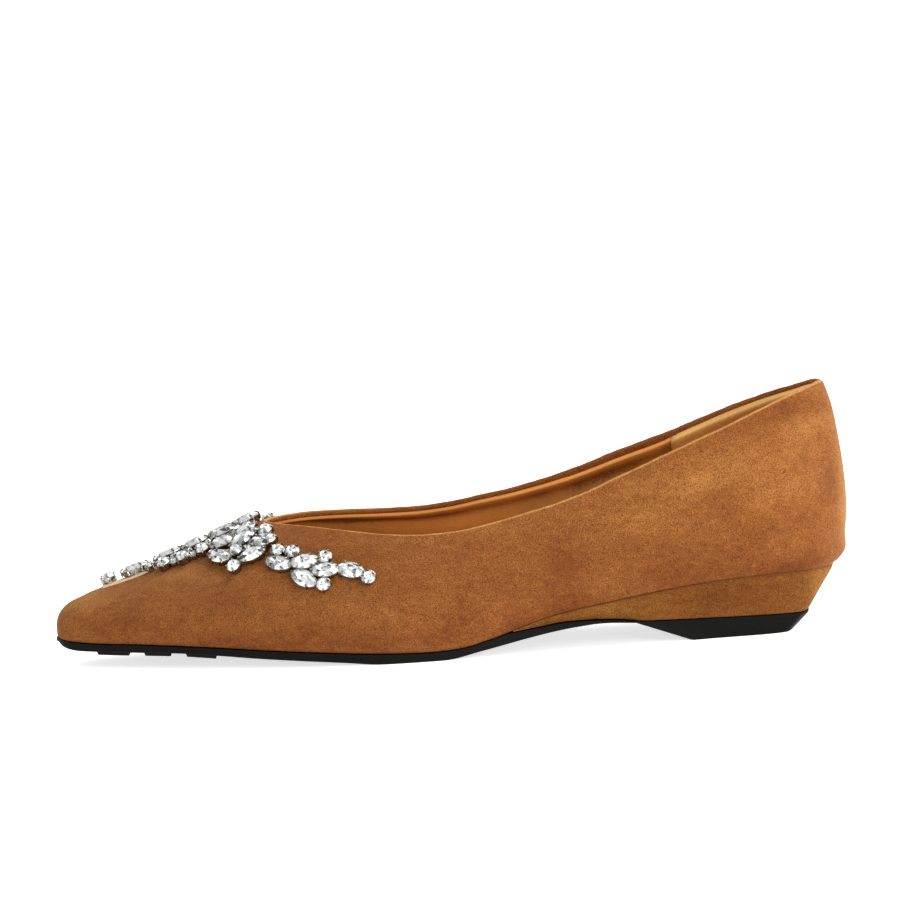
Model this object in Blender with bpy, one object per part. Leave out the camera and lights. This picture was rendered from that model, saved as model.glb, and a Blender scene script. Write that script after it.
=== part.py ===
"""A left shoe: a pointed suede flat on a low covered wedge, with a crystal spray on its vamp.

Tables and constants are in millimetres and degrees, and the meshes are in metres.
X runs from the toe to the heel, -Y is the outer side of the foot and Z is up.
"""

import math
from collections import namedtuple

import bmesh
import bpy
import numpy as np
from mathutils import Matrix, Vector
from mathutils.bvhtree import BVHTree

# Driving dimensions
MM = 0.001
LENGTH = 254.4
TOE_FRONT = 0.3
WALL = 2.0
GAP = 0.3
INSOLE_THICK = 3.0
THROAT = 69.0
MODEL_CENTRE = (TOE_FRONT + LENGTH / 2, -1.2, 0.0)

# How finely the upper is divided: columns to the throat, round its curve, and on to the back
VAMP_COLUMNS = 16
THROAT_COLUMNS = 7
QUARTER_COLUMNS = 23
THROAT_CURVE = 14.0
THROAT_SPREAD = 1.6
ROWS = 12

# Fine steps used while the surfaces are worked out
DENSE = 600
TANGENT_STEP = 0.05
SLOPE_STEP = 0.5
NORMAL_STEP = 0.01
HALVINGS = 50

# Every mesh: points closer than this are joined, and edges sharper than this stay sharp
MERGE = 0.02
SHARP_ANGLE = 40.0

# Sections of the last, from the toe tip to the heel back. The feather line is where the upper meets
# the sole: along the foot, across to either side and up. The crest is where the section would close
# over the foot. Belly and brow shape the wall between the two.
Section = namedtuple(
    "Section", "along outer inner seat crest belly_outer belly_inner belly_up brow_out brow_drop"
)
SECTIONS = [
    Section(1.0, 4.0, 4.0, 9.5, 15.2, 2.6, 2.6, 6.5, 12.5, 0.0),
    Section(3.2, -2.4, 10.2, 8.8, 16.3, 2.9, 2.9, 6.8, 12.0, 0.0),
    Section(7.5, -6.0, 13.4, 8.3, 18.6, 3.3, 3.3, 7.2, 11.5, 0.0),
    Section(14.0, -9.8, 16.6, 8.05, 22.0, 3.8, 3.8, 8.0, 11.0, 0.0),
    Section(24.0, -14.6, 20.4, 7.95, 28.5, 4.6, 4.6, 9.5, 10.5, 0.0),
    Section(38.0, -20.6, 25.0, 7.5, 40.5, 5.6, 5.6, 11.5, 11.5, 0.0),
    Section(54.0, -26.5, 29.2, 6.7, 55.5, 6.8, 6.6, 14.5, 14.0, 0.0),
    Section(68.0, -30.9, 32.2, 5.7, 69.0, 7.8, 7.4, 17.5, 16.0, 0.0),
    Section(86.0, -34.9, 34.7, 4.5, 86.5, 8.8, 8.2, 18.5, 14.0, 0.0),
    Section(104.0, -37.4, 35.0, 3.45, 104.0, 9.4, 9.2, 18.5, 12.0, 0.0),
    Section(120.0, -37.2, 32.6, 2.95, 119.5, 9.4, 10.4, 20.0, 11.5, 0.0),
    Section(129.0, -36.1, 30.3, 3.45, 128.0, 9.2, 11.2, 22.0, 12.5, 1.0),
    Section(138.0, -34.6, 28.0, 5.4, 136.5, 8.8, 11.8, 24.0, 14.0, 2.0),
    Section(158.0, -31.0, 24.2, 11.2, 155.0, 8.4, 12.2, 26.0, 16.5, 5.0),
    Section(178.0, -28.8, 23.2, 14.4, 174.0, 8.2, 11.4, 30.0, 18.5, 8.0),
    Section(198.0, -27.8, 24.4, 17.3, 193.0, 8.0, 9.6, 32.0, 21.0, 12.0),
    Section(216.0, -27.2, 25.4, 19.0, 208.0, 8.0, 8.4, 31.0, 20.5, 17.0),
    Section(232.0, -24.6, 24.0, 19.5, 220.0, 8.4, 8.4, 25.0, 19.5, 26.0),
    Section(243.0, -17.6, 17.4, 19.3, 228.5, 9.0, 9.0, 18.0, 19.0, 34.0),
    Section(248.5, -9.0, 8.8, 19.1, 233.4, 9.4, 9.4, 15.5, 19.0, 37.0),
    Section(250.2, -0.2, -0.2, 19.0, 234.8, 9.6, 9.6, 14.5, 19.0, 38.0),
]

# Crest line of the last: the ridge of the vamp as far as the throat, then the instep inside the opening
Ridge = namedtuple("Ridge", "along across height")
RIDGE = [
    Ridge(15.2, 4.0, 24.3),
    Ridge(24.4, 3.6, 26.7),
    Ridge(32.5, 3.2, 29.5),
    Ridge(47.4, 2.4, 34.9),
    Ridge(69.0, 1.2, 43.4),
    Ridge(79.0, 0.8, 46.6),
    Ridge(92.0, 0.2, 50.2),
    Ridge(105.0, -0.4, 54.0),
    Ridge(120.0, -0.8, 59.5),
    Ridge(140.0, -1.2, 68.0),
    Ridge(160.0, -1.2, 78.5),
    Ridge(190.0, -0.8, 95.0),
    Ridge(215.0, -0.4, 107.0),
    Ridge(235.0, -0.2, 112.0),
]

# Height of the topline on either side
Topline = namedtuple("Topline", "along outer inner")
TOPLINE = [
    Topline(69.0, 43.4, 43.4),
    Topline(80.0, 42.4, 43.8),
    Topline(93.0, 40.9, 43.4),
    Topline(105.5, 39.4, 42.7),
    Topline(116.0, 38.7, 42.4),
    Topline(126.5, 39.0, 43.0),
    Topline(137.0, 40.5, 44.5),
    Topline(147.5, 42.8, 46.1),
    Topline(158.0, 45.3, 48.4),
    Topline(169.0, 48.5, 51.4),
    Topline(182.0, 53.6, 55.8),
    Topline(200.0, 60.7, 61.3),
    Topline(219.0, 67.9, 68.1),
    Topline(231.0, 72.4, 72.2),
    Topline(241.0, 75.5, 75.3),
    Topline(247.5, 77.3, 77.3),
    Topline(251.0, 77.7, 77.7),
]

# Underside of the outsole, which is level where the ball of the foot stands
Tread = namedtuple("Tread", "along height")
TREAD = [
    Tread(1.0, 8.1),
    Tread(2.2, 6.8),
    Tread(4.4, 5.9),
    Tread(7.5, 5.5),
    Tread(13.0, 5.4),
    Tread(38.0, 5.1),
    Tread(52.6, 4.2),
    Tread(64.3, 3.2),
    Tread(78.2, 2.1),
    Tread(92.6, 1.0),
    Tread(105.0, 0.0),
    Tread(123.0, 0.0),
    Tread(136.0, 2.1),
    Tread(150.6, 4.85),
    Tread(157.5, 6.0),
    Tread(165.2, 6.95),
    Tread(174.0, 7.55),
    Tread(184.6, 6.9),
]

# Lower edge of the covered wedge, which the outsole and the heel lift carry
Underside = namedtuple("Underside", "along height")
UNDERSIDE = [
    Underside(136.0, 5.2),
    Underside(141.2, 6.5),
    Underside(147.1, 7.3),
    Underside(154.4, 8.05),
    Underside(162.5, 8.9),
    Underside(169.0, 8.9),
    Underside(180.0, 8.2),
    Underside(187.0, 7.2),
    Underside(199.0, 6.8),
    Underside(242.0, 6.1),
]

# Foot of the wedge, which is narrower than the seat and squarer at the back
Foot = namedtuple("Foot", "along outer inner")
FOOT = [
    Foot(145.5, -33.3, 26.5),
    Foot(158.0, -30.6, 23.9),
    Foot(178.0, -27.6, 22.3),
    Foot(198.0, -25.6, 22.5),
    Foot(215.0, -24.7, 22.9),
    Foot(228.0, -23.5, 22.5),
    Foot(235.5, -21.7, 20.9),
    Foot(239.0, -18.0, 17.4),
    Foot(240.2, -10.4, 10.0),
    Foot(240.5, -2.0, 2.0),
]
WEDGE_FRONT = 145.5
WEDGE_STATIONS = 24

# Outsole, whose edge stands a little proud of the feather line
SOLE_MARGIN = 0.7
SOLE_END = 184.6
SOLE_STATIONS = 34
LUG_SPANS = [(13.0, 24.0), (28.5, 37.5), (42.0, 52.0)]
LUG_HEIGHT = 1.05
LUG_SLOPE = 0.5
LUG_INSET = 0.8
LUG_INSET_LIMIT = 0.2
LUG_SLOPE_LIMIT = 0.3
MIDDLE_SHARE = 0.5

# Heel lift
LIFT_FRONT = 185.0
LIFT_BACK = 240.4
LIFT_BASE_FRONT = 202.0
LIFT_BASE_BACK = 234.4
LIFT_BASE_WIDTH = 0.985
LIFT_STATIONS = 18

# Insole
INSOLE_STATIONS = 34

# Slabs have this many lines of points along them, and stop just short of a rounded end so that
# the end has a small flat
SLAB_LINES = 5
END_TRIM = 0.08

# Crystals, each with its claw setting: along the foot, round the section from the ridge by an angle
# about the foot's axis, and turned down the side from the shoe's length
Stone = namedtuple("Stone", "kind along clock turn")
RIDGE_STONES = [
    Stone("round", 17.9, 0.0, 0.0),
    Stone("navette", 26.8, 0.0, 0.0),
    Stone("navette", 37.7, 0.0, 0.0),
    Stone("navette", 46.6, 0.0, 0.0),
    Stone("round", 53.2, 0.0, 0.0),
    Stone("navette", 63.5, 0.0, 0.0),
]
SIDE_STONES = [
    Stone("round", 36.6, 15.7, 0.0),
    Stone("round", 42.8, 17.5, 0.0),
    Stone("round", 49.6, 17.5, 0.0),
    Stone("navette", 55.4, 33.5, 38.0),
    Stone("navette", 56.2, 20.3, 12.0),
    Stone("navette", 56.4, 6.5, 0.0),
    Stone("round", 59.7, 44.7, 0.0),
    Stone("round", 60.6, 33.0, 0.0),
    Stone("navette", 62.6, 25.0, -24.0),
    Stone("navette", 62.8, 15.0, -6.0),
    Stone("navette", 65.6, 39.5, -9.0),
    Stone("round", 69.9, 23.2, 0.0),
    Stone("navette", 69.0, 31.0, 6.0),
    Stone("round", 73.5, 40.5, 0.0),
    Stone("round", 78.0, 42.6, 0.0),
    Stone("navette", 73.7, 48.8, 30.0),
    Stone("navette", 81.6, 49.5, 0.0),
    Stone("navette", 81.4, 59.0, 36.0),
    Stone("navette", 88.2, 55.5, 5.0),
    Stone("round", 88.2, 48.2, 0.0),
    Stone("round", 87.4, 62.9, 0.0),
    Stone("navette", 96.0, 56.8, 22.0),
    Stone("round", 101.5, 61.0, 0.0),
]
STONE_SIZES = {"navette": (8.4, 4.3, 3.8), "round": (4.0, 4.0, 3.8)}
STONE_SIDES = 8
STONE_GIRDLE = 0.6
STONE_TABLE = 0.55
CLOCK_HEIGHT = 8.0

Finish = namedtuple("Finish", "colour roughness metallic")
FINISHES = {
    "upper": Finish((0.33, 0.13, 0.035), 0.92, 0.0),
    "wedge_heel": Finish((0.30, 0.12, 0.03), 0.92, 0.0),
    "insole": Finish((0.48, 0.24, 0.08), 0.6, 0.0),
    "outsole": Finish((0.012, 0.013, 0.012), 0.65, 0.0),
    "heel_lift": Finish((0.010, 0.011, 0.010), 0.6, 0.0),
    "crystal": Finish((0.85, 0.86, 0.88), 0.08, 0.0),
}


def smooth(along, values):
    """A curve through the values that never overshoots them: a monotone cubic."""
    xs = np.asarray(along, float)
    ys = np.asarray(values, float)
    step = np.diff(xs)
    rise = np.diff(ys) / step
    slope = np.concatenate([rise[:1], np.zeros(len(xs) - 2), rise[-1:]])
    for i in range(1, len(xs) - 1):
        if rise[i - 1] * rise[i] > 0:
            before = 2 * step[i] + step[i - 1]
            after = step[i] + 2 * step[i - 1]
            slope[i] = (before + after) / (before / rise[i - 1] + after / rise[i])

    def at(x):
        x = np.clip(x, xs[0], xs[-1])
        i = np.clip(np.searchsorted(xs, x, side="right") - 1, 0, len(step) - 1)
        t = (x - xs[i]) / step[i]
        start = (1 + 2 * t) * (1 - t) ** 2 * ys[i] + t * (1 - t) ** 2 * step[i] * slope[i]
        end = t * t * (3 - 2 * t) * ys[i + 1] - t * t * (1 - t) * step[i] * slope[i + 1]
        return start + end

    return at


def curve(table, column):
    """The smooth curve of one column of a table over its first column."""
    return smooth([row[0] for row in table], [getattr(row, column) for row in table])


def closed_spline(points):
    """A closed cubic spline through points, as a function of the distance round them, and that distance."""
    points = np.asarray(points, float)
    count = len(points)
    step = np.linalg.norm(np.roll(points, -1, axis=0) - points, axis=1)
    knots = np.concatenate([[0.0], np.cumsum(step)])
    rise = (np.roll(points, -1, axis=0) - points) / step[:, None]
    system = np.zeros((count, count))
    for i in range(count):
        system[i, i - 1] += step[i - 1]
        system[i, i] += 2 * (step[i - 1] + step[i])
        system[i, (i + 1) % count] += step[i]
    bend = np.linalg.solve(system, 6 * (rise - np.roll(rise, 1, axis=0)))

    def at(distance):
        distance = np.mod(distance, knots[-1])
        i = np.clip(np.searchsorted(knots, distance, side="right") - 1, 0, count - 1)
        after = (i + 1) % count
        d = (distance - knots[i])[:, None]
        h = step[i][:, None]
        linear = rise[i] - h * (2 * bend[i] + bend[after]) / 6
        return points[i] + d * linear + d * d * bend[i] / 2 + d**3 * (bend[after] - bend[i]) / (6 * h)

    return at, knots


# The feather line in plan runs from the toe tip down the outer side to the heel back, and home again
OUTLINE, OUTLINE_KNOTS = closed_spline(
    [(row.along, row.outer) for row in SECTIONS]
    + [(row.along, row.inner) for row in reversed(SECTIONS[1:-1])]
)
AROUND = OUTLINE_KNOTS[-1]
HEEL_BACK = OUTLINE_KNOTS[len(SECTIONS) - 1]

seat_height = curve(SECTIONS, "seat")
crest_along = curve(SECTIONS, "crest")
belly_up = curve(SECTIONS, "belly_up")
brow_out = curve(SECTIONS, "brow_out")
brow_drop = curve(SECTIONS, "brow_drop")
belly_out = {"outer": curve(SECTIONS, "belly_outer"), "inner": curve(SECTIONS, "belly_inner")}
topline_height = {"outer": curve(TOPLINE, "outer"), "inner": curve(TOPLINE, "inner")}
ridge_across = curve(RIDGE, "across")
ridge_height = curve(RIDGE, "height")
tread_height = curve(TREAD, "height")
underside_height = curve(UNDERSIDE, "height")


def outward(distance):
    """The level normal of the outline, pointing away from the foot."""
    tangent = OUTLINE(distance + TANGENT_STEP) - OUTLINE(distance - TANGENT_STEP)
    normal = np.stack([tangent[:, 1], -tangent[:, 0]], axis=1)
    return normal / np.linalg.norm(normal, axis=1)[:, None]


def ridge_slope(along):
    """How fast the crest line climbs."""
    rise = ridge_height(along + SLOPE_STEP) - ridge_height(along - SLOPE_STEP)
    return rise / (2 * SLOPE_STEP)


def outline_side(side, inset=0.0):
    """One side of the outline, moved inward, as a function of along; with its first and last along."""
    end = AROUND if side == "inner" else 0.0
    distance = np.linspace(end, HEEL_BACK, DENSE)
    points = OUTLINE(distance) - inset * outward(distance)
    points = points[np.argsort(points[:, 0], kind="stable")]
    return lambda x: np.interp(x, points[:, 0], points[:, 1]), points[0, 0], points[-1, 0]


def columns(distance, side):
    """The four control points of the wall's section at each distance round the outline."""
    plan = OUTLINE(distance)
    along = plan[:, 0]
    normal = outward(distance)
    crest_x = crest_along(along)
    feather = np.column_stack([plan, seat_height(along)])
    crest = np.column_stack([crest_x, ridge_across(crest_x), ridge_height(crest_x)])
    belly = feather.copy()
    belly[:, :2] += normal * belly_out[side](along)[:, None]
    belly[:, 2] += belly_up(along)
    reach = brow_out(along)
    brow = crest.copy()
    brow[:, :2] += normal * reach[:, None]
    brow[:, 2] += ridge_slope(crest_x) * normal[:, 0] * reach - brow_drop(along)
    return np.stack([feather, belly, brow, crest], axis=1)


def on_column(controls, t):
    """Points on the sections at t, from 0 at the feather line to 1 at the crest."""
    t = np.asarray(t, float)[..., None]
    a, b, c, d = (controls[:, i] for i in range(4))
    return a * (1 - t) ** 3 + 3 * b * t * (1 - t) ** 2 + 3 * c * t * t * (1 - t) + d * t**3


def topline_cut(controls, side):
    """Where each section passes the height of the topline, found by halving."""
    low = np.zeros(len(controls))
    high = np.ones(len(controls))
    for _ in range(HALVINGS):
        middle = (low + high) / 2
        points = on_column(controls, middle)
        below = points[:, 2] < topline_height[side](points[:, 0])
        low = np.where(below, middle, low)
        high = np.where(below, high, middle)
    return (low + high) / 2


def column_places():
    """Distances round either side at which the upper has its columns. Pairs share a crest."""
    outer = np.linspace(0.0, HEEL_BACK, DENSE)
    inner = np.linspace(AROUND, HEEL_BACK, DENSE)
    outer_crest = crest_along(OUTLINE(outer)[:, 0])
    inner_crest = crest_along(OUTLINE(inner)[:, 0])
    throat = np.interp(THROAT, outer_crest, outer)
    curve_end = np.interp(THROAT + THROAT_CURVE, outer_crest, outer)
    spread = np.linspace(0.0, 1.0, THROAT_COLUMNS + 1) ** THROAT_SPREAD
    places = np.concatenate(
        [
            np.linspace(0.0, throat, VAMP_COLUMNS + 1)[:-1],
            (throat + (curve_end - throat) * spread)[:-1],
            np.linspace(curve_end, HEEL_BACK, QUARTER_COLUMNS + 1),
        ]
    )
    crests = np.interp(places, outer, outer_crest)
    twins = np.interp(crests, inner_crest, inner)
    twins[0] = AROUND
    twins[-1] = HEEL_BACK
    return {"outer": places, "inner": twins}


def skin(side, distance):
    """The outer skin on one side and the lining skin a wall's thickness inside it."""
    controls = columns(distance, side)
    cut = np.ones(len(distance))
    cut[VAMP_COLUMNS + 1 :] = topline_cut(controls[VAMP_COLUMNS + 1 :], side)
    share = np.linspace(0.0, 1.0, ROWS + 1)
    face = np.stack([on_column(controls, cut * s) for s in share], axis=1)
    ahead = columns(distance + NORMAL_STEP, side)
    behind = columns(distance - NORMAL_STEP, side)
    normals = []
    for s in share:
        t = np.clip(cut * s, NORMAL_STEP, 1 - NORMAL_STEP)
        round_foot = on_column(ahead, t) - on_column(behind, t)
        up_wall = on_column(controls, t + NORMAL_STEP) - on_column(controls, t - NORMAL_STEP)
        normal = np.cross(round_foot, up_wall)
        normals.append(normal / np.linalg.norm(normal, axis=1)[:, None])
    normals = np.stack(normals, axis=1)
    level = outward(distance)
    normals[:, 0] = np.column_stack([level, np.zeros(len(level))])
    crest_x = controls[: VAMP_COLUMNS + 1, 3, 0]
    slope = ridge_slope(crest_x)
    tilt = np.column_stack([-slope, np.zeros(len(slope)), np.ones(len(slope))])
    normals[: VAMP_COLUMNS + 1, ROWS] = tilt / np.linalg.norm(tilt, axis=1)[:, None]
    return face, face - WALL * normals


def finish(name):
    """A Principled material from the table of finishes."""
    look = FINISHES[name]
    material = bpy.data.materials.new(name)
    material.use_nodes = True
    shader = material.node_tree.nodes["Principled BSDF"]
    shader.inputs["Base Color"].default_value = (*look.colour, 1.0)
    shader.inputs["Roughness"].default_value = look.roughness
    shader.inputs["Metallic"].default_value = look.metallic
    return material


def add_object(name, mesh, material, parent):
    """A named object on the shoe's root, with its material."""
    part = bpy.data.objects.new(name, mesh)
    mesh.materials.append(material)
    part.parent = parent
    bpy.context.scene.collection.objects.link(part)
    return part


def to_mesh(name, bm):
    """A closed mesh with its faces pointing out, in metres."""
    bmesh.ops.remove_doubles(bm, verts=bm.verts, dist=MERGE)
    bmesh.ops.recalc_face_normals(bm, faces=bm.faces)
    bmesh.ops.scale(bm, vec=(MM, MM, MM), verts=bm.verts)
    mesh = bpy.data.meshes.new(name)
    bm.to_mesh(mesh)
    bm.free()
    mesh.shade_smooth()
    mesh.set_sharp_from_angle(angle=math.radians(SHARP_ANGLE))
    return mesh


def add_grid(bm, points):
    """Quads over a grid of points, and the grid of their vertices."""
    verts = [[bm.verts.new(p) for p in line] for line in points]
    for line, following in zip(verts, verts[1:]):
        add_strip(bm, line, following)
    return verts


def add_strip(bm, line, following):
    """Quads between two lines of vertices."""
    for a, b, c, d in zip(line, line[1:], following[1:], following):
        bm.faces.new((a, b, c, d))


def make_upper(parent):
    """One hollow wall, open at the topline and underneath."""
    bm = bmesh.new()
    for side, distance in column_places().items():
        face, lining = skin(side, distance)
        face_verts = add_grid(bm, face)
        lining_verts = add_grid(bm, lining)
        add_strip(bm, [line[0] for line in face_verts], [line[0] for line in lining_verts])
        face_top = [line[-1] for line in face_verts[VAMP_COLUMNS:]]
        lining_top = [line[-1] for line in lining_verts[VAMP_COLUMNS:]]
        add_strip(bm, face_top, lining_top)
    return add_object("upper", to_mesh("upper", bm), finish("upper"), parent)


def make_slab(name, top, bottom, parent):
    """A closed slab between two grids of points with the same counts."""
    bm = bmesh.new()
    upper = add_grid(bm, top)
    lower = add_grid(bm, bottom)
    add_strip(bm, upper[0], lower[0])
    add_strip(bm, upper[-1], lower[-1])
    add_strip(bm, [line[0] for line in upper], [line[0] for line in lower])
    add_strip(bm, [line[-1] for line in upper], [line[-1] for line in lower])
    return add_object(name, to_mesh(name, bm), finish(name), parent)


def rungs(stations, outer, inner, height, shares):
    """A grid of points: a line across the foot at each station, divided by shares from outer to inner."""
    left = outer(stations)[:, None]
    right = inner(stations)[:, None]
    across = left + (right - left) * shares
    along = np.broadcast_to(stations[:, None], across.shape)
    up = np.broadcast_to(height(stations)[:, None], across.shape)
    return np.stack([along, across, up], axis=2)


def round_ended(start, end, count):
    """Stations from start to end, closer together at both ends."""
    return start + (end - start) * (1 - np.cos(np.linspace(0, math.pi, count))) / 2


def round_started(start, end, count):
    """Stations from start to end, closer together at the start."""
    return start + (end - start) * (1 - np.cos(np.linspace(0, math.pi / 2, count)))


def make_insole(parent):
    """A board that fills the foot of the upper, just clear of its wall."""
    outer, first, last = outline_side("outer", WALL + GAP)
    inner = outline_side("inner", WALL + GAP)[0]
    stations = round_ended(first + END_TRIM, last - END_TRIM, INSOLE_STATIONS)
    shares = np.linspace(0, 1, SLAB_LINES)
    bottom = rungs(stations, outer, inner, seat_height, shares)
    top = bottom + np.array([0.0, 0.0, INSOLE_THICK])
    return make_slab("insole", top, bottom, parent)


def sole_top(along):
    """Top of the outsole: under the upper, and further back under the wedge."""
    under_wedge = np.where(along > UNDERSIDE[0].along, underside_height(along), np.inf)
    return np.minimum(seat_height(along), under_wedge) - GAP


def sole_stations(first):
    """Stations of the outsole, with the two edges of each lug's ends among them."""
    edges = []
    for start, end in LUG_SPANS:
        edges += [start, start + LUG_SLOPE, end - LUG_SLOPE, end]
    plain = round_started(first + END_TRIM, SOLE_END, SOLE_STATIONS)
    free = [x for x in plain if min(abs(x - edge) for edge in edges) > 2 * LUG_SLOPE]
    return np.array(sorted(free + edges))


def in_lug(along):
    """1 at stations on a lug's flat, 0 elsewhere."""
    flat = [(start + LUG_SLOPE / 2, end - LUG_SLOPE / 2) for start, end in LUG_SPANS]
    return np.array([float(any(start < x < end for start, end in flat)) for x in along])


def make_outsole(parent):
    """The rubber sole from the toe to the heel, with three lugs across the toe."""
    outer, first, _ = outline_side("outer", -SOLE_MARGIN)
    inner = outline_side("inner", -SOLE_MARGIN)[0]
    stations = sole_stations(first)
    width = inner(stations) - outer(stations)
    edge = np.minimum(LUG_INSET / width, LUG_INSET_LIMIT)
    slope = np.minimum((LUG_INSET + LUG_SLOPE) / width, LUG_SLOPE_LIMIT)
    start = np.zeros(len(width))
    shares = [start, edge, slope, start + MIDDLE_SHARE, 1 - slope, 1 - edge, 1 - start]
    shares = np.stack(shares, axis=1)
    top = rungs(stations, outer, inner, sole_top, shares)
    bottom = top.copy()
    bottom[:, :, 2] = tread_height(stations)[:, None]
    bottom[:, 2:-2, 2] -= (in_lug(stations) * LUG_HEIGHT)[:, None]
    return make_slab("outsole", top, bottom, parent)


def make_wedge(parent):
    """The covered wedge: its top follows the seat and its foot is smaller."""
    outer, _, last = outline_side("outer")
    inner = outline_side("inner")[0]
    turn = np.sin(np.linspace(0, math.pi / 2, WEDGE_STATIONS))
    top_stations = WEDGE_FRONT + (last - END_TRIM - WEDGE_FRONT) * turn
    foot_stations = WEDGE_FRONT + (FOOT[-1].along - WEDGE_FRONT) * turn
    shares = np.linspace(0, 1, SLAB_LINES)
    top = rungs(top_stations, outer, inner, lambda x: seat_height(x) - GAP, shares)
    bottom = rungs(foot_stations, curve(FOOT, "outer"), curve(FOOT, "inner"), underside_height, shares)
    return make_slab("wedge_heel", top, bottom, parent)


def make_lift(parent):
    """The rubber block under the wedge, bevelled at the front and the back."""
    turn = np.sin(np.linspace(0, math.pi / 2, LIFT_STATIONS))
    stations = LIFT_FRONT + (LIFT_BACK - LIFT_FRONT) * turn
    base_stations = LIFT_BASE_FRONT + (LIFT_BASE_BACK - LIFT_BASE_FRONT) * turn
    shares = np.linspace(0, 1, SLAB_LINES)
    top = rungs(
        stations, curve(FOOT, "outer"), curve(FOOT, "inner"), lambda x: underside_height(x) - GAP, shares
    )
    bottom = top * np.array([1.0, LIFT_BASE_WIDTH, 0.0])
    bottom[:, :, 0] = base_stations[:, None]
    return make_slab("heel_lift", top, bottom, parent)


def outer_skin():
    """The outside of the upper as a tree that rays can be cast at."""
    points = []
    faces = []
    for side, distance in column_places().items():
        face = skin(side, distance)[0]
        first = len(points)
        rows = face.shape[1]
        points += [Vector(point) for point in face.reshape(-1, 3)]
        for i in range(face.shape[0] - 1):
            corners = [first + i * rows + j for j in range(rows - 1)]
            faces += [(corner, corner + 1, corner + rows + 1, corner + rows) for corner in corners]
    return BVHTree.FromPolygons(points, faces)


def stone_place(tree, stone, side):
    """Where a stone sits on the upper: its frame stands on the skin. side is 1 outside, -1 inside."""
    axis = Vector((stone.along, float(ridge_across(stone.along)), CLOCK_HEIGHT))
    clock = math.radians(stone.clock) * side
    ray = Vector((0.0, -math.sin(clock), math.cos(clock)))
    foot, normal, _, _ = tree.ray_cast(axis, ray)
    if normal.dot(ray) < 0:
        normal.negate()
    length = (Vector((1, 0, 0)) - normal * normal.x).normalized()
    down = length.cross(normal) * side
    turn = math.radians(stone.turn)
    long_way = length * math.cos(turn) + down * math.sin(turn)
    frame = Matrix((long_way, normal.cross(long_way), normal)).transposed().to_4x4()
    frame.translation = foot + normal * GAP
    return frame


def stone_outline(kind):
    """The stone's girdle in plan: a circle, or two arcs that meet in points."""
    length, width, _ = STONE_SIZES[kind]
    turn = np.linspace(0, 2 * math.pi, STONE_SIDES, endpoint=False)
    if kind == "round":
        return np.column_stack([np.cos(turn), np.sin(turn)]) * length / 2
    along = np.cos(turn)
    bow = 1 - along * along
    return np.column_stack([along * length / 2, np.sign(np.sin(turn)) * bow * width / 2])


def stone_mesh(kind):
    """A setting with upright sides to the girdle, and a crown that narrows to the table."""
    height = STONE_SIZES[kind][2]
    outline = stone_outline(kind)
    levels = [(0.0, 1.0), (STONE_GIRDLE * height, 1.0), (height, STONE_TABLE)]
    bm = bmesh.new()
    rings = [[bm.verts.new((x * share, y * share, z)) for x, y in outline] for z, share in levels]
    for ring, following in zip(rings, rings[1:]):
        add_strip(bm, ring + ring[:1], following + following[:1])
    bm.faces.new(rings[0])
    bm.faces.new(rings[-1])
    return to_mesh(kind, bm)


def make_stones(parent):
    """Every crystal as its own piece: along the ridge, then down either side."""
    tree = outer_skin()
    material = finish("crystal")
    meshes = {kind: stone_mesh(kind) for kind in STONE_SIZES}
    for mesh in meshes.values():
        mesh.materials.append(material)
    rows = [("ridge", 1, RIDGE_STONES), ("outer", 1, SIDE_STONES), ("inner", -1, SIDE_STONES)]
    for place, side, stones in rows:
        for number, stone in enumerate(stones, start=1):
            frame = stone_place(tree, stone, side)
            frame.translation *= MM
            crystal = bpy.data.objects.new(f"crystal_{place}_{number:02d}", meshes[stone.kind])
            crystal.parent = parent
            crystal.matrix_local = frame
            bpy.context.scene.collection.objects.link(crystal)


def main():
    for old in list(bpy.data.objects):
        bpy.data.objects.remove(old, do_unlink=True)
    root = bpy.data.objects.new("shoe", None)
    bpy.context.scene.collection.objects.link(root)
    root.location = [-MM * value for value in MODEL_CENTRE]
    make_upper(root)
    make_insole(root)
    make_wedge(root)
    make_outsole(root)
    make_lift(root)
    make_stones(root)


main()
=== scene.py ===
"""Looks of a left shoe: a pointed suede flat on a low covered wedge, with a crystal spray on its vamp.

Shapes are worked out in millimetres in the shoemaker's frame: X runs from the toe tip to the heel, -Y is
the outer side of the foot and Z is up from the floor. to_metres moves them to the frame of the CAD part.
"""

import math
import random
from collections import namedtuple

import bmesh
import bpy
import numpy as np
from mathutils import Matrix, Vector, kdtree


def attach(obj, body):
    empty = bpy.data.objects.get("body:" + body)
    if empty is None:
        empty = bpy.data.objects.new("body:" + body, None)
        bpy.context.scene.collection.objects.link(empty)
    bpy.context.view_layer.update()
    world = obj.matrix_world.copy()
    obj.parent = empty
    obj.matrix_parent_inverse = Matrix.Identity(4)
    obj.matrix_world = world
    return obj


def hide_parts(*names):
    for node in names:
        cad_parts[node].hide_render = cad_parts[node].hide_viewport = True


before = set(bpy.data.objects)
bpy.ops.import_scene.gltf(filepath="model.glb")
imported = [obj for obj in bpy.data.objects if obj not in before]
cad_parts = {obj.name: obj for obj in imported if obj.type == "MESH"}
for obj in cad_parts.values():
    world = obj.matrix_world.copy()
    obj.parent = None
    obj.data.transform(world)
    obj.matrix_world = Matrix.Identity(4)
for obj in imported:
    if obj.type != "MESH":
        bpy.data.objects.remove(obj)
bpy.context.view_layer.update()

bl_info = {
    "name": "Suede Flat With Crystal Spray",
    "version": (1, 0, 0),
    "blender": (4, 5, 0),
    "location": "3D View > Sidebar > Shoe",
    "description": "Builds the visible pieces of a pointed suede flat round its CAD frame",
    "category": "Object",
}

# The body that the pieces ride on
BODY = "root"

# Driving dimensions, the same as the CAD part's
MM = 0.001
SHOE_CENTRE = np.array([127.5, -1.2, 0.0])
GAP = 0.3
THROAT = 69.0
THROAT_CURVE = 14.0

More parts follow.
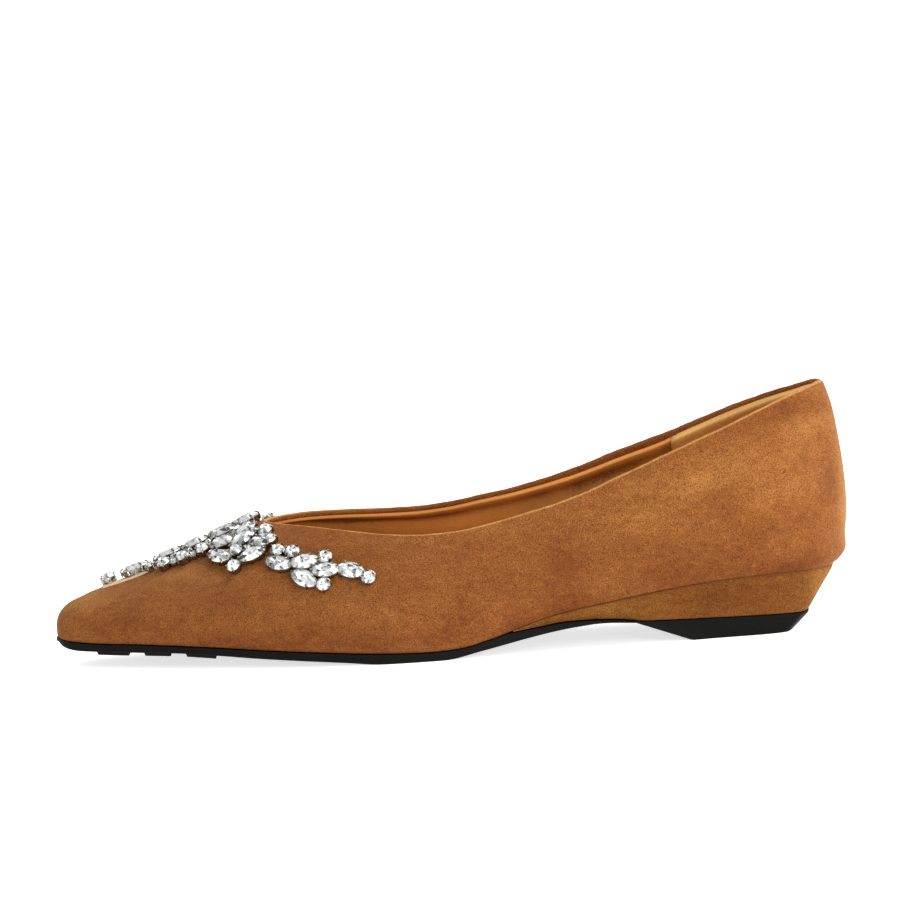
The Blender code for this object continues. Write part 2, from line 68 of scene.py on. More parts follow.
# Sections of the last, from the toe tip to the heel back. The feather line is where the upper meets
# the sole: along the foot, across to either side and up. The crest is where the section would close
# over the foot. Belly and brow shape the wall between the two.
Section = namedtuple(
    "Section", "along outer inner seat crest belly_outer belly_inner belly_up brow_out brow_drop"
)
SECTIONS = [
    Section(1.0, 4.0, 4.0, 9.5, 15.2, 2.6, 2.6, 6.5, 12.5, 0.0),
    Section(3.2, -2.4, 10.2, 8.8, 16.3, 2.9, 2.9, 6.8, 12.0, 0.0),
    Section(7.5, -6.0, 13.4, 8.3, 18.6, 3.3, 3.3, 7.2, 11.5, 0.0),
    Section(14.0, -9.8, 16.6, 8.05, 22.0, 3.8, 3.8, 8.0, 11.0, 0.0),
    Section(24.0, -14.6, 20.4, 7.95, 28.5, 4.6, 4.6, 9.5, 10.5, 0.0),
    Section(38.0, -20.6, 25.0, 7.5, 40.5, 5.6, 5.6, 11.5, 11.5, 0.0),
    Section(54.0, -26.5, 29.2, 6.7, 55.5, 6.8, 6.6, 14.5, 14.0, 0.0),
    Section(68.0, -30.9, 32.2, 5.7, 69.0, 7.8, 7.4, 17.5, 16.0, 0.0),
    Section(86.0, -34.9, 34.7, 4.5, 86.5, 8.8, 8.2, 18.5, 14.0, 0.0),
    Section(104.0, -37.4, 35.0, 3.45, 104.0, 9.4, 9.2, 18.5, 12.0, 0.0),
    Section(120.0, -37.2, 32.6, 2.95, 119.5, 9.4, 10.4, 20.0, 11.5, 0.0),
    Section(129.0, -36.1, 30.3, 3.45, 128.0, 9.2, 11.2, 22.0, 12.5, 1.0),
    Section(138.0, -34.6, 28.0, 5.4, 136.5, 8.8, 11.8, 24.0, 14.0, 2.0),
    Section(158.0, -31.0, 24.2, 11.2, 155.0, 8.4, 12.2, 26.0, 16.5, 5.0),
    Section(178.0, -28.8, 23.2, 14.4, 174.0, 8.2, 11.4, 30.0, 18.5, 8.0),
    Section(198.0, -27.8, 24.4, 17.3, 193.0, 8.0, 9.6, 32.0, 21.0, 12.0),
    Section(216.0, -27.2, 25.4, 19.0, 208.0, 8.0, 8.4, 31.0, 20.5, 17.0),
    Section(232.0, -24.6, 24.0, 19.5, 220.0, 8.4, 8.4, 25.0, 19.5, 26.0),
    Section(243.0, -17.6, 17.4, 19.3, 228.5, 9.0, 9.0, 18.0, 19.0, 34.0),
    Section(248.5, -9.0, 8.8, 19.1, 233.4, 9.4, 9.4, 15.5, 19.0, 37.0),
    Section(250.2, -0.2, -0.2, 19.0, 234.8, 9.6, 9.6, 14.5, 19.0, 38.0),
]

# Crest line of the last: the ridge of the vamp as far as the throat, then the instep inside the opening
Ridge = namedtuple("Ridge", "along across height")
RIDGE = [
    Ridge(15.2, 4.0, 24.3),
    Ridge(24.4, 3.6, 26.7),
    Ridge(32.5, 3.2, 29.5),
    Ridge(47.4, 2.4, 34.9),
    Ridge(69.0, 1.2, 43.4),
    Ridge(79.0, 0.8, 46.6),
    Ridge(92.0, 0.2, 50.2),
    Ridge(105.0, -0.4, 54.0),
    Ridge(120.0, -0.8, 59.5),
    Ridge(140.0, -1.2, 68.0),
    Ridge(160.0, -1.2, 78.5),
    Ridge(190.0, -0.8, 95.0),
    Ridge(215.0, -0.4, 107.0),
    Ridge(235.0, -0.2, 112.0),
]

# Height of the topline on either side
Topline = namedtuple("Topline", "along outer inner")
TOPLINE = [
    Topline(69.0, 43.4, 43.4),
    Topline(80.0, 42.4, 43.8),
    Topline(93.0, 40.9, 43.4),
    Topline(105.5, 39.4, 42.7),
    Topline(116.0, 38.7, 42.4),
    Topline(126.5, 39.0, 43.0),
    Topline(137.0, 40.5, 44.5),
    Topline(147.5, 42.8, 46.1),
    Topline(158.0, 45.3, 48.4),
    Topline(169.0, 48.5, 51.4),
    Topline(182.0, 53.6, 55.8),
    Topline(200.0, 60.7, 61.3),
    Topline(219.0, 67.9, 68.1),
    Topline(231.0, 72.4, 72.2),
    Topline(241.0, 75.5, 75.3),
    Topline(247.5, 77.3, 77.3),
    Topline(251.0, 77.7, 77.7),
]

# Underside of the outsole
Tread = namedtuple("Tread", "along height")
TREAD = [
    Tread(1.0, 8.1),
    Tread(2.2, 6.8),
    Tread(4.4, 5.9),
    Tread(7.5, 5.5),
    Tread(13.0, 5.4),
    Tread(38.0, 5.1),
    Tread(52.6, 4.2),
    Tread(64.3, 3.2),
    Tread(78.2, 2.1),
    Tread(92.6, 1.0),
    Tread(105.0, 0.0),
    Tread(123.0, 0.0),
    Tread(136.0, 2.1),
    Tread(150.6, 4.85),
    Tread(157.5, 6.0),
    Tread(165.2, 6.95),
    Tread(174.0, 7.55),
    Tread(184.6, 6.9),
]

# Lower edge of the covered wedge, which the outsole and the heel lift carry
Underside = namedtuple("Underside", "along height")
UNDERSIDE = [
    Underside(136.0, 5.2),
    Underside(141.2, 6.5),
    Underside(147.1, 7.3),
    Underside(154.4, 8.05),
    Underside(162.5, 8.9),
    Underside(169.0, 8.9),
    Underside(180.0, 8.2),
    Underside(187.0, 7.2),
    Underside(199.0, 6.8),
    Underside(242.0, 6.1),
]

# Foot of the wedge, which is narrower than the seat and squarer at the back
Foot = namedtuple("Foot", "along outer inner")
FOOT = [
    Foot(145.5, -33.3, 26.5),
    Foot(158.0, -30.6, 23.9),
    Foot(178.0, -27.6, 22.3),
    Foot(198.0, -25.6, 22.5),
    Foot(215.0, -24.7, 22.9),
    Foot(228.0, -23.5, 22.5),
    Foot(235.5, -21.7, 20.9),
    Foot(239.0, -18.0, 17.4),
    Foot(240.2, -10.4, 10.0),
    Foot(240.5, -2.0, 2.0),
]
WEDGE_FRONT = 145.5

# Side of the wedge from its top to its foot: share of the way down, and how far it is tucked in
WEDGE_PROFILE = [
    (0.0, 0.9),
    (0.04, 0.4),
    (0.1, 0.1),
    (0.2, 0.0),
    (0.5, 0.0),
    (0.92, 0.0),
    (0.97, 0.1),
    (1.0, 0.4),
]
WEDGE_HEART = (205.0, -1.2)
HEART_CLEAR = 2.0
WEDGE_SEAM = 0.1

# How finely the upper is divided
VAMP_COLUMNS = 52
THROAT_COLUMNS = 22
QUARTER_COLUMNS = 92
THROAT_SPREAD = 1.6
BACK_SPREAD = 1.5
FACE_ROWS = 46
BACKING_ROWS = 8

# The suede is tucked in just above the wedge: rows, height and its most on a short wall, depth, and the
# length over which the tuck grows
TUCK_ROWS = 6
TUCK_HIGH = 2.0
TUCK_SHARE = 0.25
TUCK_IN = 0.6
TUCK_RUN = 40.0

# Steps with which curves are followed and surfaces are cut
DENSE = 3000
TANGENT_STEP = 0.05
SLOPE_STEP = 0.5
NORMAL_STEP = 0.01
CREST_STEP = 0.001
HALVINGS = 40
CUT_START = 0.6
CUT_PASSES = 2
ARC_SAMPLES = 60
MERGE = 0.01

# Layers of the wall, as depths below the face of the suede
SUEDE_THICK = 0.95
FOLD_BACK = 1.3
LINING_BACK = 1.05
LINING_DEPTH = 2.0

# Collar padding under the lining: depth of the lining against the distance below the suede's fold
Pad = namedtuple("Pad", "below depth")
PADDING = [
    Pad(-4.0, 1.12),
    Pad(-0.3, 1.14),
    Pad(0.05, 1.25),
    Pad(0.2, 2.2),
    Pad(0.4, 2.9),
    Pad(0.7, 3.3),
    Pad(1.1, 3.4),
    Pad(2.0, 3.15),
    Pad(3.0, 2.6),
    Pad(4.0, 1.9),
    Pad(5.0, 1.4),
    Pad(5.8, 1.3),
    Pad(7.5, 2.0),
    Pad(10.0, 2.9),
    Pad(13.0, 3.3),
    Pad(19.0, 2.9),
    Pad(28.0, 2.2),
    Pad(90.0, 2.0),
]
# Height and relief of the padding along the foot, as shares of the above: it is flatter towards the throat
PadShare = namedtuple("PadShare", "along height relief")
PAD_SHARES = [
    PadShare(67.0, 1.0, 0.5),
    PadShare(80.0, 0.7, 0.45),
    PadShare(100.0, 0.75, 0.45),
    PadShare(130.0, 0.85, 0.5),
    PadShare(165.0, 0.8, 0.9),
    PadShare(195.0, 1.0, 1.0),
]
PAD_START = 0.17

# Rows of the lining: in a band under its top, the band's height and its most on a short wall, and below it
LINING_TOP_ROWS = 44
LINING_TOP_BAND = 14.0
LINING_TOP_SHARE = 0.5
LINING_LOW_ROWS = 16

# Turned edge of the suede inside the collar: how far it comes down
FoldDepth = namedtuple("FoldDepth", "along depth")
FOLD_DEPTHS = [
    FoldDepth(60.0, 0.2),
    FoldDepth(138.0, 0.2),
    FoldDepth(157.0, 0.5),
    FoldDepth(176.0, 1.1),
    FoldDepth(194.0, 1.3),
    FoldDepth(208.0, 0.6),
    FoldDepth(255.0, 0.2),
]
# Rows of the turned edge: round its arc, down the inside, and back up behind it. The first are its rim,
# which carries a painted highlight, and the rest carry painted shade
FOLD_ARC = 8
FOLD_SHARES = (0.35, 0.7, 1.0)
FOLD_RETURN = 0.2
RIM_HIGHLIGHT_ROWS = 3

# The edge wavers by the product of two waves, in radians to the millimetre
WAVER_QUICK = 0.83
WAVER_SLOW = 0.37

# The heel grip is a second lining piece from here to the back. Its two faces part just above the end of
# the suede's fold and soon reach its thickness
GRIP_FRONT = 200.0
GRIP_THICK = 0.8
GRIP_START = -0.1
GRIP_RUN = 0.5
GRIP_BACK = 0.03
GRIP_EDGE = 0.06

# Soft dents and fullness of the suede on either side: along, up, spread along and up, and depth
Dent = namedtuple("Dent", "along up wide high depth")
DENTS = [
    Dent(40.0, 15.0, 26.0, 7.0, -0.25),
    Dent(96.0, 26.0, 16.0, 10.0, 0.18),
    Dent(150.0, 30.0, 18.0, 11.0, -0.30),
    Dent(188.0, 38.0, 14.0, 9.0, 0.20),
    Dent(217.0, 36.0, 9.0, 10.0, -0.28),
    Dent(238.0, 47.0, 7.0, 10.0, -0.22),
    Dent(170.0, 14.0, 12.0, 5.0, -0.20),
    Dent(253.0, 23.5, 9.0, 3.2, 1.3),
    Dent(252.0, 70.0, 6.0, 10.0, 0.6),
    Dent(0.5, 12.5, 4.0, 5.0, 0.55),
    Dent(0.5, 9.2, 4.0, 2.2, 0.70),
    Dent(8.5, 22.0, 5.0, 4.0, -0.75),
]

# Brushed nap with painted light: places where the pile lies darker (below 0) or lighter (above 0), together
# with painted highlights on the top of the toe, high on the heel and down the edge of the heel back, and
# painted shade low on the sides near the sole and where the wedge starts
Brush = namedtuple("Brush", "along up wide high tone")
NAP_AND_PAINTED_LIGHT = [
    # Painted highlight on the top of the toe
    Brush(9.0, 22.0, 10.0, 4.0, 0.60),
    Brush(6.0, 11.0, 8.0, 3.0, -0.12),
    Brush(24.0, 14.0, 9.0, 6.0, -0.20),
    Brush(60.0, 12.0, 42.0, 10.0, -0.20),
    Brush(62.0, 8.0, 24.0, 4.0, -0.30),
    Brush(112.0, 7.0, 34.0, 4.5, -0.34),
    Brush(30.0, 20.0, 9.0, 5.0, 0.12),
    Brush(42.0, 22.0, 10.0, 4.0, -0.12),
    Brush(46.0, 28.5, 16.0, 3.0, 0.30),
    Brush(92.0, 17.0, 10.0, 8.0, 0.14),
    Brush(110.0, 30.0, 26.0, 10.0, -0.05),
    Brush(130.0, 14.0, 6.0, 7.0, -0.26),
    Brush(141.0, 28.0, 10.0, 7.0, -0.26),
    Brush(140.0, 40.0, 12.0, 5.0, 0.22),
    # Painted shade where the wedge starts
    Brush(147.0, 9.0, 7.0, 4.0, -0.50),
    Brush(163.0, 26.0, 9.0, 9.0, -0.34),
    Brush(164.0, 13.0, 10.0, 6.0, -0.50),
    Brush(181.0, 48.0, 14.0, 6.0, 0.08),
    Brush(193.0, 40.0, 8.0, 7.0, 0.15),
    Brush(199.0, 19.0, 13.0, 5.0, -0.46),
    Brush(195.0, 29.0, 12.0, 6.0, -0.25),
    Brush(206.0, 50.5, 7.0, 4.5, 0.36),
    Brush(214.0, 43.0, 6.0, 7.0, -0.22),
    Brush(237.0, 38.0, 8.0, 5.0, -0.14),
    Brush(234.0, 19.0, 16.0, 4.5, -0.60),
    Brush(228.0, 32.0, 14.0, 6.0, -0.12),
    Brush(224.0, 52.0, 18.0, 11.0, 0.34),
    # Painted highlight high on the heel
    Brush(243.5, 66.0, 10.0, 5.0, 0.50),
    Brush(237.0, 45.0, 9.0, 5.0, 0.16),
    Brush(237.0, 69.5, 12.0, 3.5, -0.50),
    Brush(249.5, 47.0, 3.0, 8.0, -0.30),
    # Painted highlight down the edge of the heel back
    Brush(254.0, 40.0, 3.5, 24.0, 0.60),
    Brush(216.0, 23.0, 30.0, 5.0, -0.20),
]
# The inner side has the same patches moved along the shoe, fully so at this distance from the middle
BRUSH_SHIFT_INSIDE = -11.0
BRUSH_SHIFT_RUN = 14.0
# Painted highlight on the collar's rim, and painted shade on the fold inside it
RIM_PAINTED_HIGHLIGHT = 1.1
FOLD_PAINTED_SHADE = -0.05

# Closed seam down the heel back: how far across it lies, half its width, where it may start, and its tone
SEAM_ACROSS = -0.2
SEAM_WIDE = 0.45
SEAM_FRONT = 225.0
SEAM_TONE = -0.7

# Brushed nap of the wedge with painted light: paler at its front, a painted highlight where it turns round
# the back, and darker on its side further back
WEDGE_NAP_AND_PAINTED_LIGHT = [
    Brush(176.0, 10.5, 14.0, 5.0, 0.25),
    Brush(216.0, 13.0, 16.0, 7.0, -0.30),
    Brush(244.5, 12.0, 4.5, 12.0, 0.60),
]

# Painted light on the lining: a painted highlight along the crown of its padded roll, painted shade in the
# groove under it, a paler painted patch low on the wall and a painted shadow line at the heel grip's front.
# Up is the distance below the suede's fold
LINING_PAINTED_LIGHT = [
    Brush(150.0, 0.35, 150.0, 0.30, 0.80),
    Brush(84.0, 1.4, 14.0, 0.9, -0.25),
    Brush(92.0, 3.8, 16.0, 1.8, -0.60),
    Brush(114.0, 2.8, 20.0, 1.3, -0.32),
    Brush(140.0, 3.4, 24.0, 1.5, -0.28),
    Brush(130.0, 8.0, 16.0, 3.0, 0.30),
    Brush(182.0, 4.1, 25.0, 2.6, -0.48),
    Brush(199.2, 1.8, 0.8, 2.0, -0.35),
]

# Outsole: how far it stands out beyond the feather line, how much further at the tip of the toe and over
# what run, where it ends at the heel breast, and how finely it is divided
SOLE_MARGIN = 0.7
TOE_REACH = 0.9
TOE_REACH_RUN = 7.0
SOLE_END = 184.6
SOLE_STATIONS = 110

# Lugs across the toe, and the grooves of the tread behind them
LUG_SPANS = [(13.0, 24.0), (28.5, 37.5), (42.0, 52.0)]
LUG_HEIGHT = 1.05
LUG_SLOPE = 0.4
LUG_INSET = 0.8
GROOVE_FIRST = 62.0
GROOVE_LAST = 142.0
GROOVE_PITCH = 5.0
GROOVE_WIDTH = 1.2
GROOVE_DEPTH = 0.5
GROOVE_INSET = 5.0
# Lines run along the sole beside its edges. Where it is narrow they keep to steps of its width, and lugs
# and grooves lie between the same lines everywhere
RIM_SHARE = 0.06
RIM_SHARE_STEP = 0.09
LUG_LINES = slice(3, -3)
GROOVE_LINES = slice(5, -5)
# The edges' rounding takes no more than this share of a thin sole
ROUND_SHARE = 0.45

# Heel lift: its top and its base along the shoe, the base's width, its straight face, and its bottom edge
LIFT_FRONT = 184.6
LIFT_BACK = 240.4
LIFT_BASE_FRONT = 202.0
LIFT_BASE_BACK = 234.4
LIFT_BASE_WIDTH = 0.985
LIFT_FACE = 0.6
LIFT_EDGE = 0.95
LIFT_ROUND = np.array([0.012, 0.012, 0.0])
# Flat pieces: rounding of their edges, what is trimmed from the outline's ends, and their divisions
EDGE_ROUND = 0.3
END_TRIM = 0.08
SLAB_LINES = 9
SLAB_STATIONS = 90

# Insole, and its rounded edge: how far in from its side, and how far below its top
INSOLE_THICK = 3.0
INSOLE_RIMS = [(1.2, 0.0), (0.35, 0.3), (0.0, 1.0), (0.0, INSOLE_THICK)]

# Cut stones, by half their length and width. A longer one is a navette, which is pointed at both ends
NAVETTE_LENGTH = 6.0
STONE_SPAN = {"navette": (4.55, 2.6), "round": (2.25, 2.25)}
NAVETTE_FULLNESS = 1.25

# Rings of a brilliant cut: height above the stone's foot, and size as a share of the girdle's
GIRDLE_UP = 2.2
GIRDLE_THICK = 0.4
WAIST_SHARE = 0.97
MIDDLE_UP = 2.95
MIDDLE_SHARE = 0.80
TABLE_UP = 3.6
TABLE_SHARE = 0.56
TABLE_SINK = 0.15
PAVILION_UP = 3.1
HEART_SHARE = 0.27
STONE_SIDES = 8

# Painted reflections of the facets: brightnesses, of which each facet is dealt one
FACET_PAINTED_REFLECTIONS = [1.0, 0.95, 0.88, 0.8, 0.72, 0.62, 0.45, 0.1]
FACET_SEED = 11

# How a stone's foot is found in its CAD node: decimals that tell normals apart, and how flat a foot is
NORMAL_DIGITS = 2
BASE_CLOSE = 0.1

# Cups and claws: levels as a share of the girdle and a height, and the claws' angles round the stone
CUP_LEVELS = [(0.84, -0.4), (0.88, 0.5), (1.07, 1.8), (1.09, 2.1), (0.95, 2.2)]
CUP_SIDES = 28
CLAW_ANGLES = {"navette": [0, 58, 122, 180, 238, 302], "round": [45, 135, 225, 315]}
CLAW_LEVELS = [(0.98, 0.5), (1.05, 1.7), (1.05, 2.5), (0.95, 3.05), (0.8, 3.3)]
CLAW_TAPER = [1.0, 1.0, 1.0, 0.95, 0.6]
CLAW_THICK = 0.34
CLAW_SIDES = 6

# Thin bars between the feet of neighbouring settings
BAR_THICK = 0.38
BAR_UP = 0.45
BAR_REACH = 8.2

# Small stones that close the gaps in the thick of the spray: their size, where they may stand along the
# shoe, how far apart their neighbours may be, the room they need, and how alike the neighbours have to lean
FILLER_SCALE = 0.62
FILLER_RUN = (16.0, 71.0)
FILLER_REACH = 12.5
FILLER_CLEAR = 0.8
FILLER_ALIKE = 0.85

# Pale backing strip under the stones that run to the toe. It drops from the ridge by its crown, and each
# point of it lies among the nearest points of the suede
STRIP_START = 15.5
STRIP_END = 49.0
STRIP_HALF = 2.4
STRIP_THICK = 0.65
STRIP_STATIONS = 24
STRIP_LINES = 9
STRIP_CROWN = 0.06
STRIP_SINK = 0.2
STRIP_NEAR = 4
STRIP_SOFT = 0.01

# Shades of a material about its own colour: place on the ramp, and brightness
NAP_SHADES = [(0.0, 0.34), (0.3, 0.70), (0.52, 1.0), (0.75, 1.45), (1.0, 2.05)]
LINING_SHADES = [(0.0, 0.36), (0.2, 0.75), (0.5, 1.0), (1.0, 1.5)]
RUBBER_SHADES = [(0.2, 0.6), (0.5, 1.0), (0.8, 1.6)]
# Both where it is brushed the light way and under a painted highlight, the pile is paler as well as
# brighter, by these powers of red, green and blue
NAP_PALES = (1.0, 1.5, 1.8)
# Shades as colours: the flecks that darken the pile, the foiled glass's painted reflections, nickel plate,
# felt and acrylic
FLECKS = [(0.28, "#8C827C"), (0.5, "#DED9D6"), (0.62, "#FFFFFF")]
CRYSTAL_PAINTED_REFLECTIONS = [(0.0, "#1A1C1E"), (0.35, "#888C8D"), (0.7, "#D4D7D7"), (1.0, "#F2F3F3")]
NICKEL_SHADES = [(0.25, "#55514A"), (0.75, "#C4C0B4")]
FELT_SHADES = [(0.25, "#C9AE86"), (0.75, "#EBD9B9")]
ACRYLIC_SHADES = [(0.2, "#F1F0EE"), (0.8, "#F7F6F4")]
# Sockets of the Mix node that hold its two colours and their product
MIX_FIRST = 6
MIX_SECOND = 7
MIX_RESULT = 2

# Studio board in metres: half its width, where it starts to sweep up, the sweep's radius, and its top
BOARD_HALF = 2.6
BOARD_BACK = 1.1
BOARD_SWEEP = 0.7
BOARD_STEPS = 13
BOARD_TOP = 2.6

# Soft lights: place and target in millimetres in the CAD's frame, and width in metres
SoftLight = namedtuple("SoftLight", "name place target width")
SOFT_LIGHTS = [
    SoftLight("key", (220, -100, 760), (20, 0, 30), 0.6),
    SoftLight("fill", (800, -1300, 350), (20, 0, 40), 1.1),
    SoftLight("rim", (900, 150, 350), (80, 0, 45), 0.5),
    SoftLight("board", (0, 700, 1300), (0, 1700, 500), 1.2),
]

# The photograph's camera: its place in millimetres in the CAD's frame, its tilt and roll in degrees, its
# focus in pixels, the pixel that it is aimed at, and how far it sees in metres
CAMERA_AT = np.array([1.0, -1487.6, 222.0])
CAMERA_DOWN = 7.0
CAMERA_ROLL = 3.5
CAMERA_FOCUS_PX = 4690.5
IMAGE_PX = 900
SENSOR = 36.0
AIMED_PX = (452.0, 521.0)
CAMERA_FAR = 20.0


def linear(hex_colour):
    """Linear RGBA of an sRGB hex colour."""
    parts = [int(hex_colour[i : i + 2], 16) / 255 for i in (1, 3, 5)]
    return (*[p / 12.92 if p <= 0.04045 else ((p + 0.055) / 1.055) ** 2.4 for p in parts], 1.0)


def per_mm(size):
    """Scale of a noise whose features are this many millimetres across."""
    return 1000.0 / size


# Curves and surfaces of the last


def smooth(along, values):
    """A curve through the values that never overshoots them: a monotone cubic."""
    xs = np.asarray(along, float)
    ys = np.asarray(values, float)
    step = np.diff(xs)
    rise = np.diff(ys) / step
    slope = np.concatenate([rise[:1], np.zeros(len(xs) - 2), rise[-1:]])
    for i in range(1, len(xs) - 1):
        if rise[i - 1] * rise[i] > 0:
            before = 2 * step[i] + step[i - 1]
            after = step[i] + 2 * step[i - 1]
            slope[i] = (before + after) / (before / rise[i - 1] + after / rise[i])

    def at(x):
        x = np.clip(x, xs[0], xs[-1])
        i = np.clip(np.searchsorted(xs, x, side="right") - 1, 0, len(step) - 1)
        t = (x - xs[i]) / step[i]
        start = (1 + 2 * t) * (1 - t) ** 2 * ys[i] + t * (1 - t) ** 2 * step[i] * slope[i]
        end = t * t * (3 - 2 * t) * ys[i + 1] - t * t * (1 - t) * step[i] * slope[i + 1]
        return start + end

    return at


def curve(table, column):
    """The smooth curve of one column of a table over its first column."""
    return smooth([row[0] for row in table], [getattr(row, column) for row in table])


def closed_spline(points):
    """A closed cubic spline through points, as a function of the distance round them, and that distance."""
    points = np.asarray(points, float)
    count = len(points)
    step = np.linalg.norm(np.roll(points, -1, axis=0) - points, axis=1)
    knots = np.concatenate([[0.0], np.cumsum(step)])
    rise = (np.roll(points, -1, axis=0) - points) / step[:, None]
    system = np.zeros((count, count))
    for i in range(count):
        system[i, i - 1] += step[i - 1]
        system[i, i] += 2 * (step[i - 1] + step[i])
        system[i, (i + 1) % count] += step[i]
    bend = np.linalg.solve(system, 6 * (rise - np.roll(rise, 1, axis=0)))

    def at(distance):
        distance = np.mod(distance, knots[-1])
        i = np.clip(np.searchsorted(knots, distance, side="right") - 1, 0, count - 1)
        after = (i + 1) % count
        d = (distance - knots[i])[:, None]
        h = step[i][:, None]
        straight = rise[i] - h * (2 * bend[i] + bend[after]) / 6
        return points[i] + d * straight + d * d * bend[i] / 2 + d**3 * (bend[after] - bend[i]) / (6 * h)

    return at, knots


# The feather line in plan runs from the toe tip down the outer side to the heel back, and home again
OUTLINE, OUTLINE_KNOTS = closed_spline(
    [(row.along, row.outer) for row in SECTIONS]
    + [(row.along, row.inner) for row in reversed(SECTIONS[1:-1])]
)
AROUND = OUTLINE_KNOTS[-1]
HEEL_BACK = OUTLINE_KNOTS[len(SECTIONS) - 1]

seat_height = curve(SECTIONS, "seat")
crest_along = curve(SECTIONS, "crest")
belly_up = curve(SECTIONS, "belly_up")
brow_out = curve(SECTIONS, "brow_out")
brow_drop = curve(SECTIONS, "brow_drop")
belly_out = {"outer": curve(SECTIONS, "belly_outer"), "inner": curve(SECTIONS, "belly_inner")}
topline_height = {"outer": curve(TOPLINE, "outer"), "inner": curve(TOPLINE, "inner")}
ridge_across = curve(RIDGE, "across")
ridge_height = curve(RIDGE, "height")
tread_height = curve(TREAD, "height")
underside_height = curve(UNDERSIDE, "height")
fold_depth = curve(FOLD_DEPTHS, "depth")
pad_depth = curve(PADDING, "depth")
pad_height = curve(PAD_SHARES, "height")
pad_relief = curve(PAD_SHARES, "relief")
foot_outer = curve(FOOT, "outer")
foot_inner = curve(FOOT, "inner")


def unit(vectors):
    """Vectors of length one."""
    return vectors / np.linalg.norm(vectors, axis=-1, keepdims=True)


def outward(distance):
    """The level normal of the outline, pointing away from the foot."""
    tangent = OUTLINE(distance + TANGENT_STEP) - OUTLINE(distance - TANGENT_STEP)
    return unit(np.stack([tangent[:, 1], -tangent[:, 0]], axis=1))


def outline_side(side, inset=0.0):
    """One side of the outline, moved inward, as a function of along; with its first and last along."""
    end = AROUND if side == "inner" else 0.0
    distance = np.linspace(end, HEEL_BACK, DENSE)
    points = OUTLINE(distance) - inset * outward(distance)
    points = points[np.argsort(points[:, 0], kind="stable")]
    return lambda x: np.interp(x, points[:, 0], points[:, 1]), points[0, 0], points[-1, 0]


def ridge_slope(along):
    """How fast the crest line climbs."""
    rise = ridge_height(along + SLOPE_STEP) - ridge_height(along - SLOPE_STEP)
    return rise / (2 * SLOPE_STEP)


def wall_controls(distance, side):
    """The four control points of the wall's section at each distance round the outline."""
    plan = OUTLINE(distance)
    along = plan[:, 0]
    normal = outward(distance)
    crest_x = crest_along(along)
    feather = np.column_stack([plan, seat_height(along)])
    crest = np.column_stack([crest_x, ridge_across(crest_x), ridge_height(crest_x)])
    belly = feather.copy()
    belly[:, :2] += normal * belly_out[side](along)[:, None]
    belly[:, 2] += belly_up(along)
    reach = brow_out(along)
    brow = crest.copy()
    brow[:, :2] += normal * reach[:, None]
    brow[:, 2] += ridge_slope(crest_x) * normal[:, 0] * reach - brow_drop(along)
    return np.stack([feather, belly, brow, crest], axis=1)


def on_wall(controls, t):
    """Points on the sections. t has a row for each section, 0 at the feather line and 1 at the crest."""
    t = np.asarray(t, float)[..., None]
    a, b, c, d = (controls[:, None, i] for i in range(4))
    return a * (1 - t) ** 3 + 3 * b * t * (1 - t) ** 2 + 3 * c * t * t * (1 - t) + d * t**3


def edge_height(side, along, radius, lean):
    """Height where the face of the suede starts to turn over, so that the turn ends at the topline."""
    back = np.clip((along - THROAT) / THROAT_CURVE, 0.0, 1.0)
    lower = radius * (ridge_slope(THROAT) * (1 - back) + (1 - lean) * back)
    return topline_height[side](along + radius * (1 - back)) - lower


def topline_cut(controls, side, radius, lean):
    """Where each section passes the turned edge's height, found by halving. lean is the normal's rise."""
    low = np.zeros(len(controls))
    high = np.ones(len(controls))
    for _ in range(HALVINGS):
        middle = (low + high) / 2
        points = on_wall(controls, middle[:, None])[:, 0]
        below = points[:, 2] < edge_height(side, points[:, 0], radius, lean)
        low = np.where(below, middle, low)
        high = np.where(below, high, middle)
    return (low + high) / 2


def column_places(throat):
    """Distances round either side at which the upper has its columns. Pairs share a crest."""
    outer = np.linspace(0.0, HEEL_BACK, DENSE)
    inner = np.linspace(AROUND, HEEL_BACK, DENSE)
    outer_crest = crest_along(OUTLINE(outer)[:, 0])
    inner_crest = crest_along(OUTLINE(inner)[:, 0])
    start = np.interp(throat, outer_crest, outer)
    curve_end = np.interp(throat + THROAT_CURVE, outer_crest, outer)
    spread = np.linspace(0.0, 1.0, THROAT_COLUMNS + 1) ** THROAT_SPREAD
    to_back = 1 - (1 - np.linspace(0.0, 1.0, QUARTER_COLUMNS + 1)) ** BACK_SPREAD
    places = np.concatenate(
        [
            np.linspace(0.0, start, VAMP_COLUMNS + 1)[:-1],
            (start + (curve_end - start) * spread)[:-1],
            curve_end + (HEEL_BACK - curve_end) * to_back,
        ]
    )
    twins = np.interp(np.interp(places, outer, outer_crest), inner_crest, inner)
    twins[0] = AROUND
    twins[-1] = HEEL_BACK
    return {"outer": places, "inner": twins}


Wall = namedtuple("Wall", "side distance controls cut length lengths")


def make_walls(radius):
    """Both sides of the upper as columns cut off at the turned edge, with the length up each column."""
    walls = {}
    for side, distance in column_places(THROAT - radius).items():
        controls = wall_controls(distance, side)
        opened = slice(VAMP_COLUMNS + 1, None)
        cut = np.ones(len(distance))
        cut[opened] = CUT_START
        for _ in range(CUT_PASSES):
            lean = wall_normals(side, distance, controls, cut[:, None])[opened, 0, 2]
            cut[opened] = topline_cut(controls[opened], side, radius, lean)
        path = on_wall(controls, cut[:, None] * np.linspace(0, 1, ARC_SAMPLES))
        step = np.linalg.norm(np.diff(path, axis=1), axis=2)
        lengths = np.concatenate([np.zeros((len(distance), 1)), np.cumsum(step, axis=1)], axis=1)
        walls[side] = Wall(side, distance, controls, cut, lengths[:, -1], lengths)
    return walls


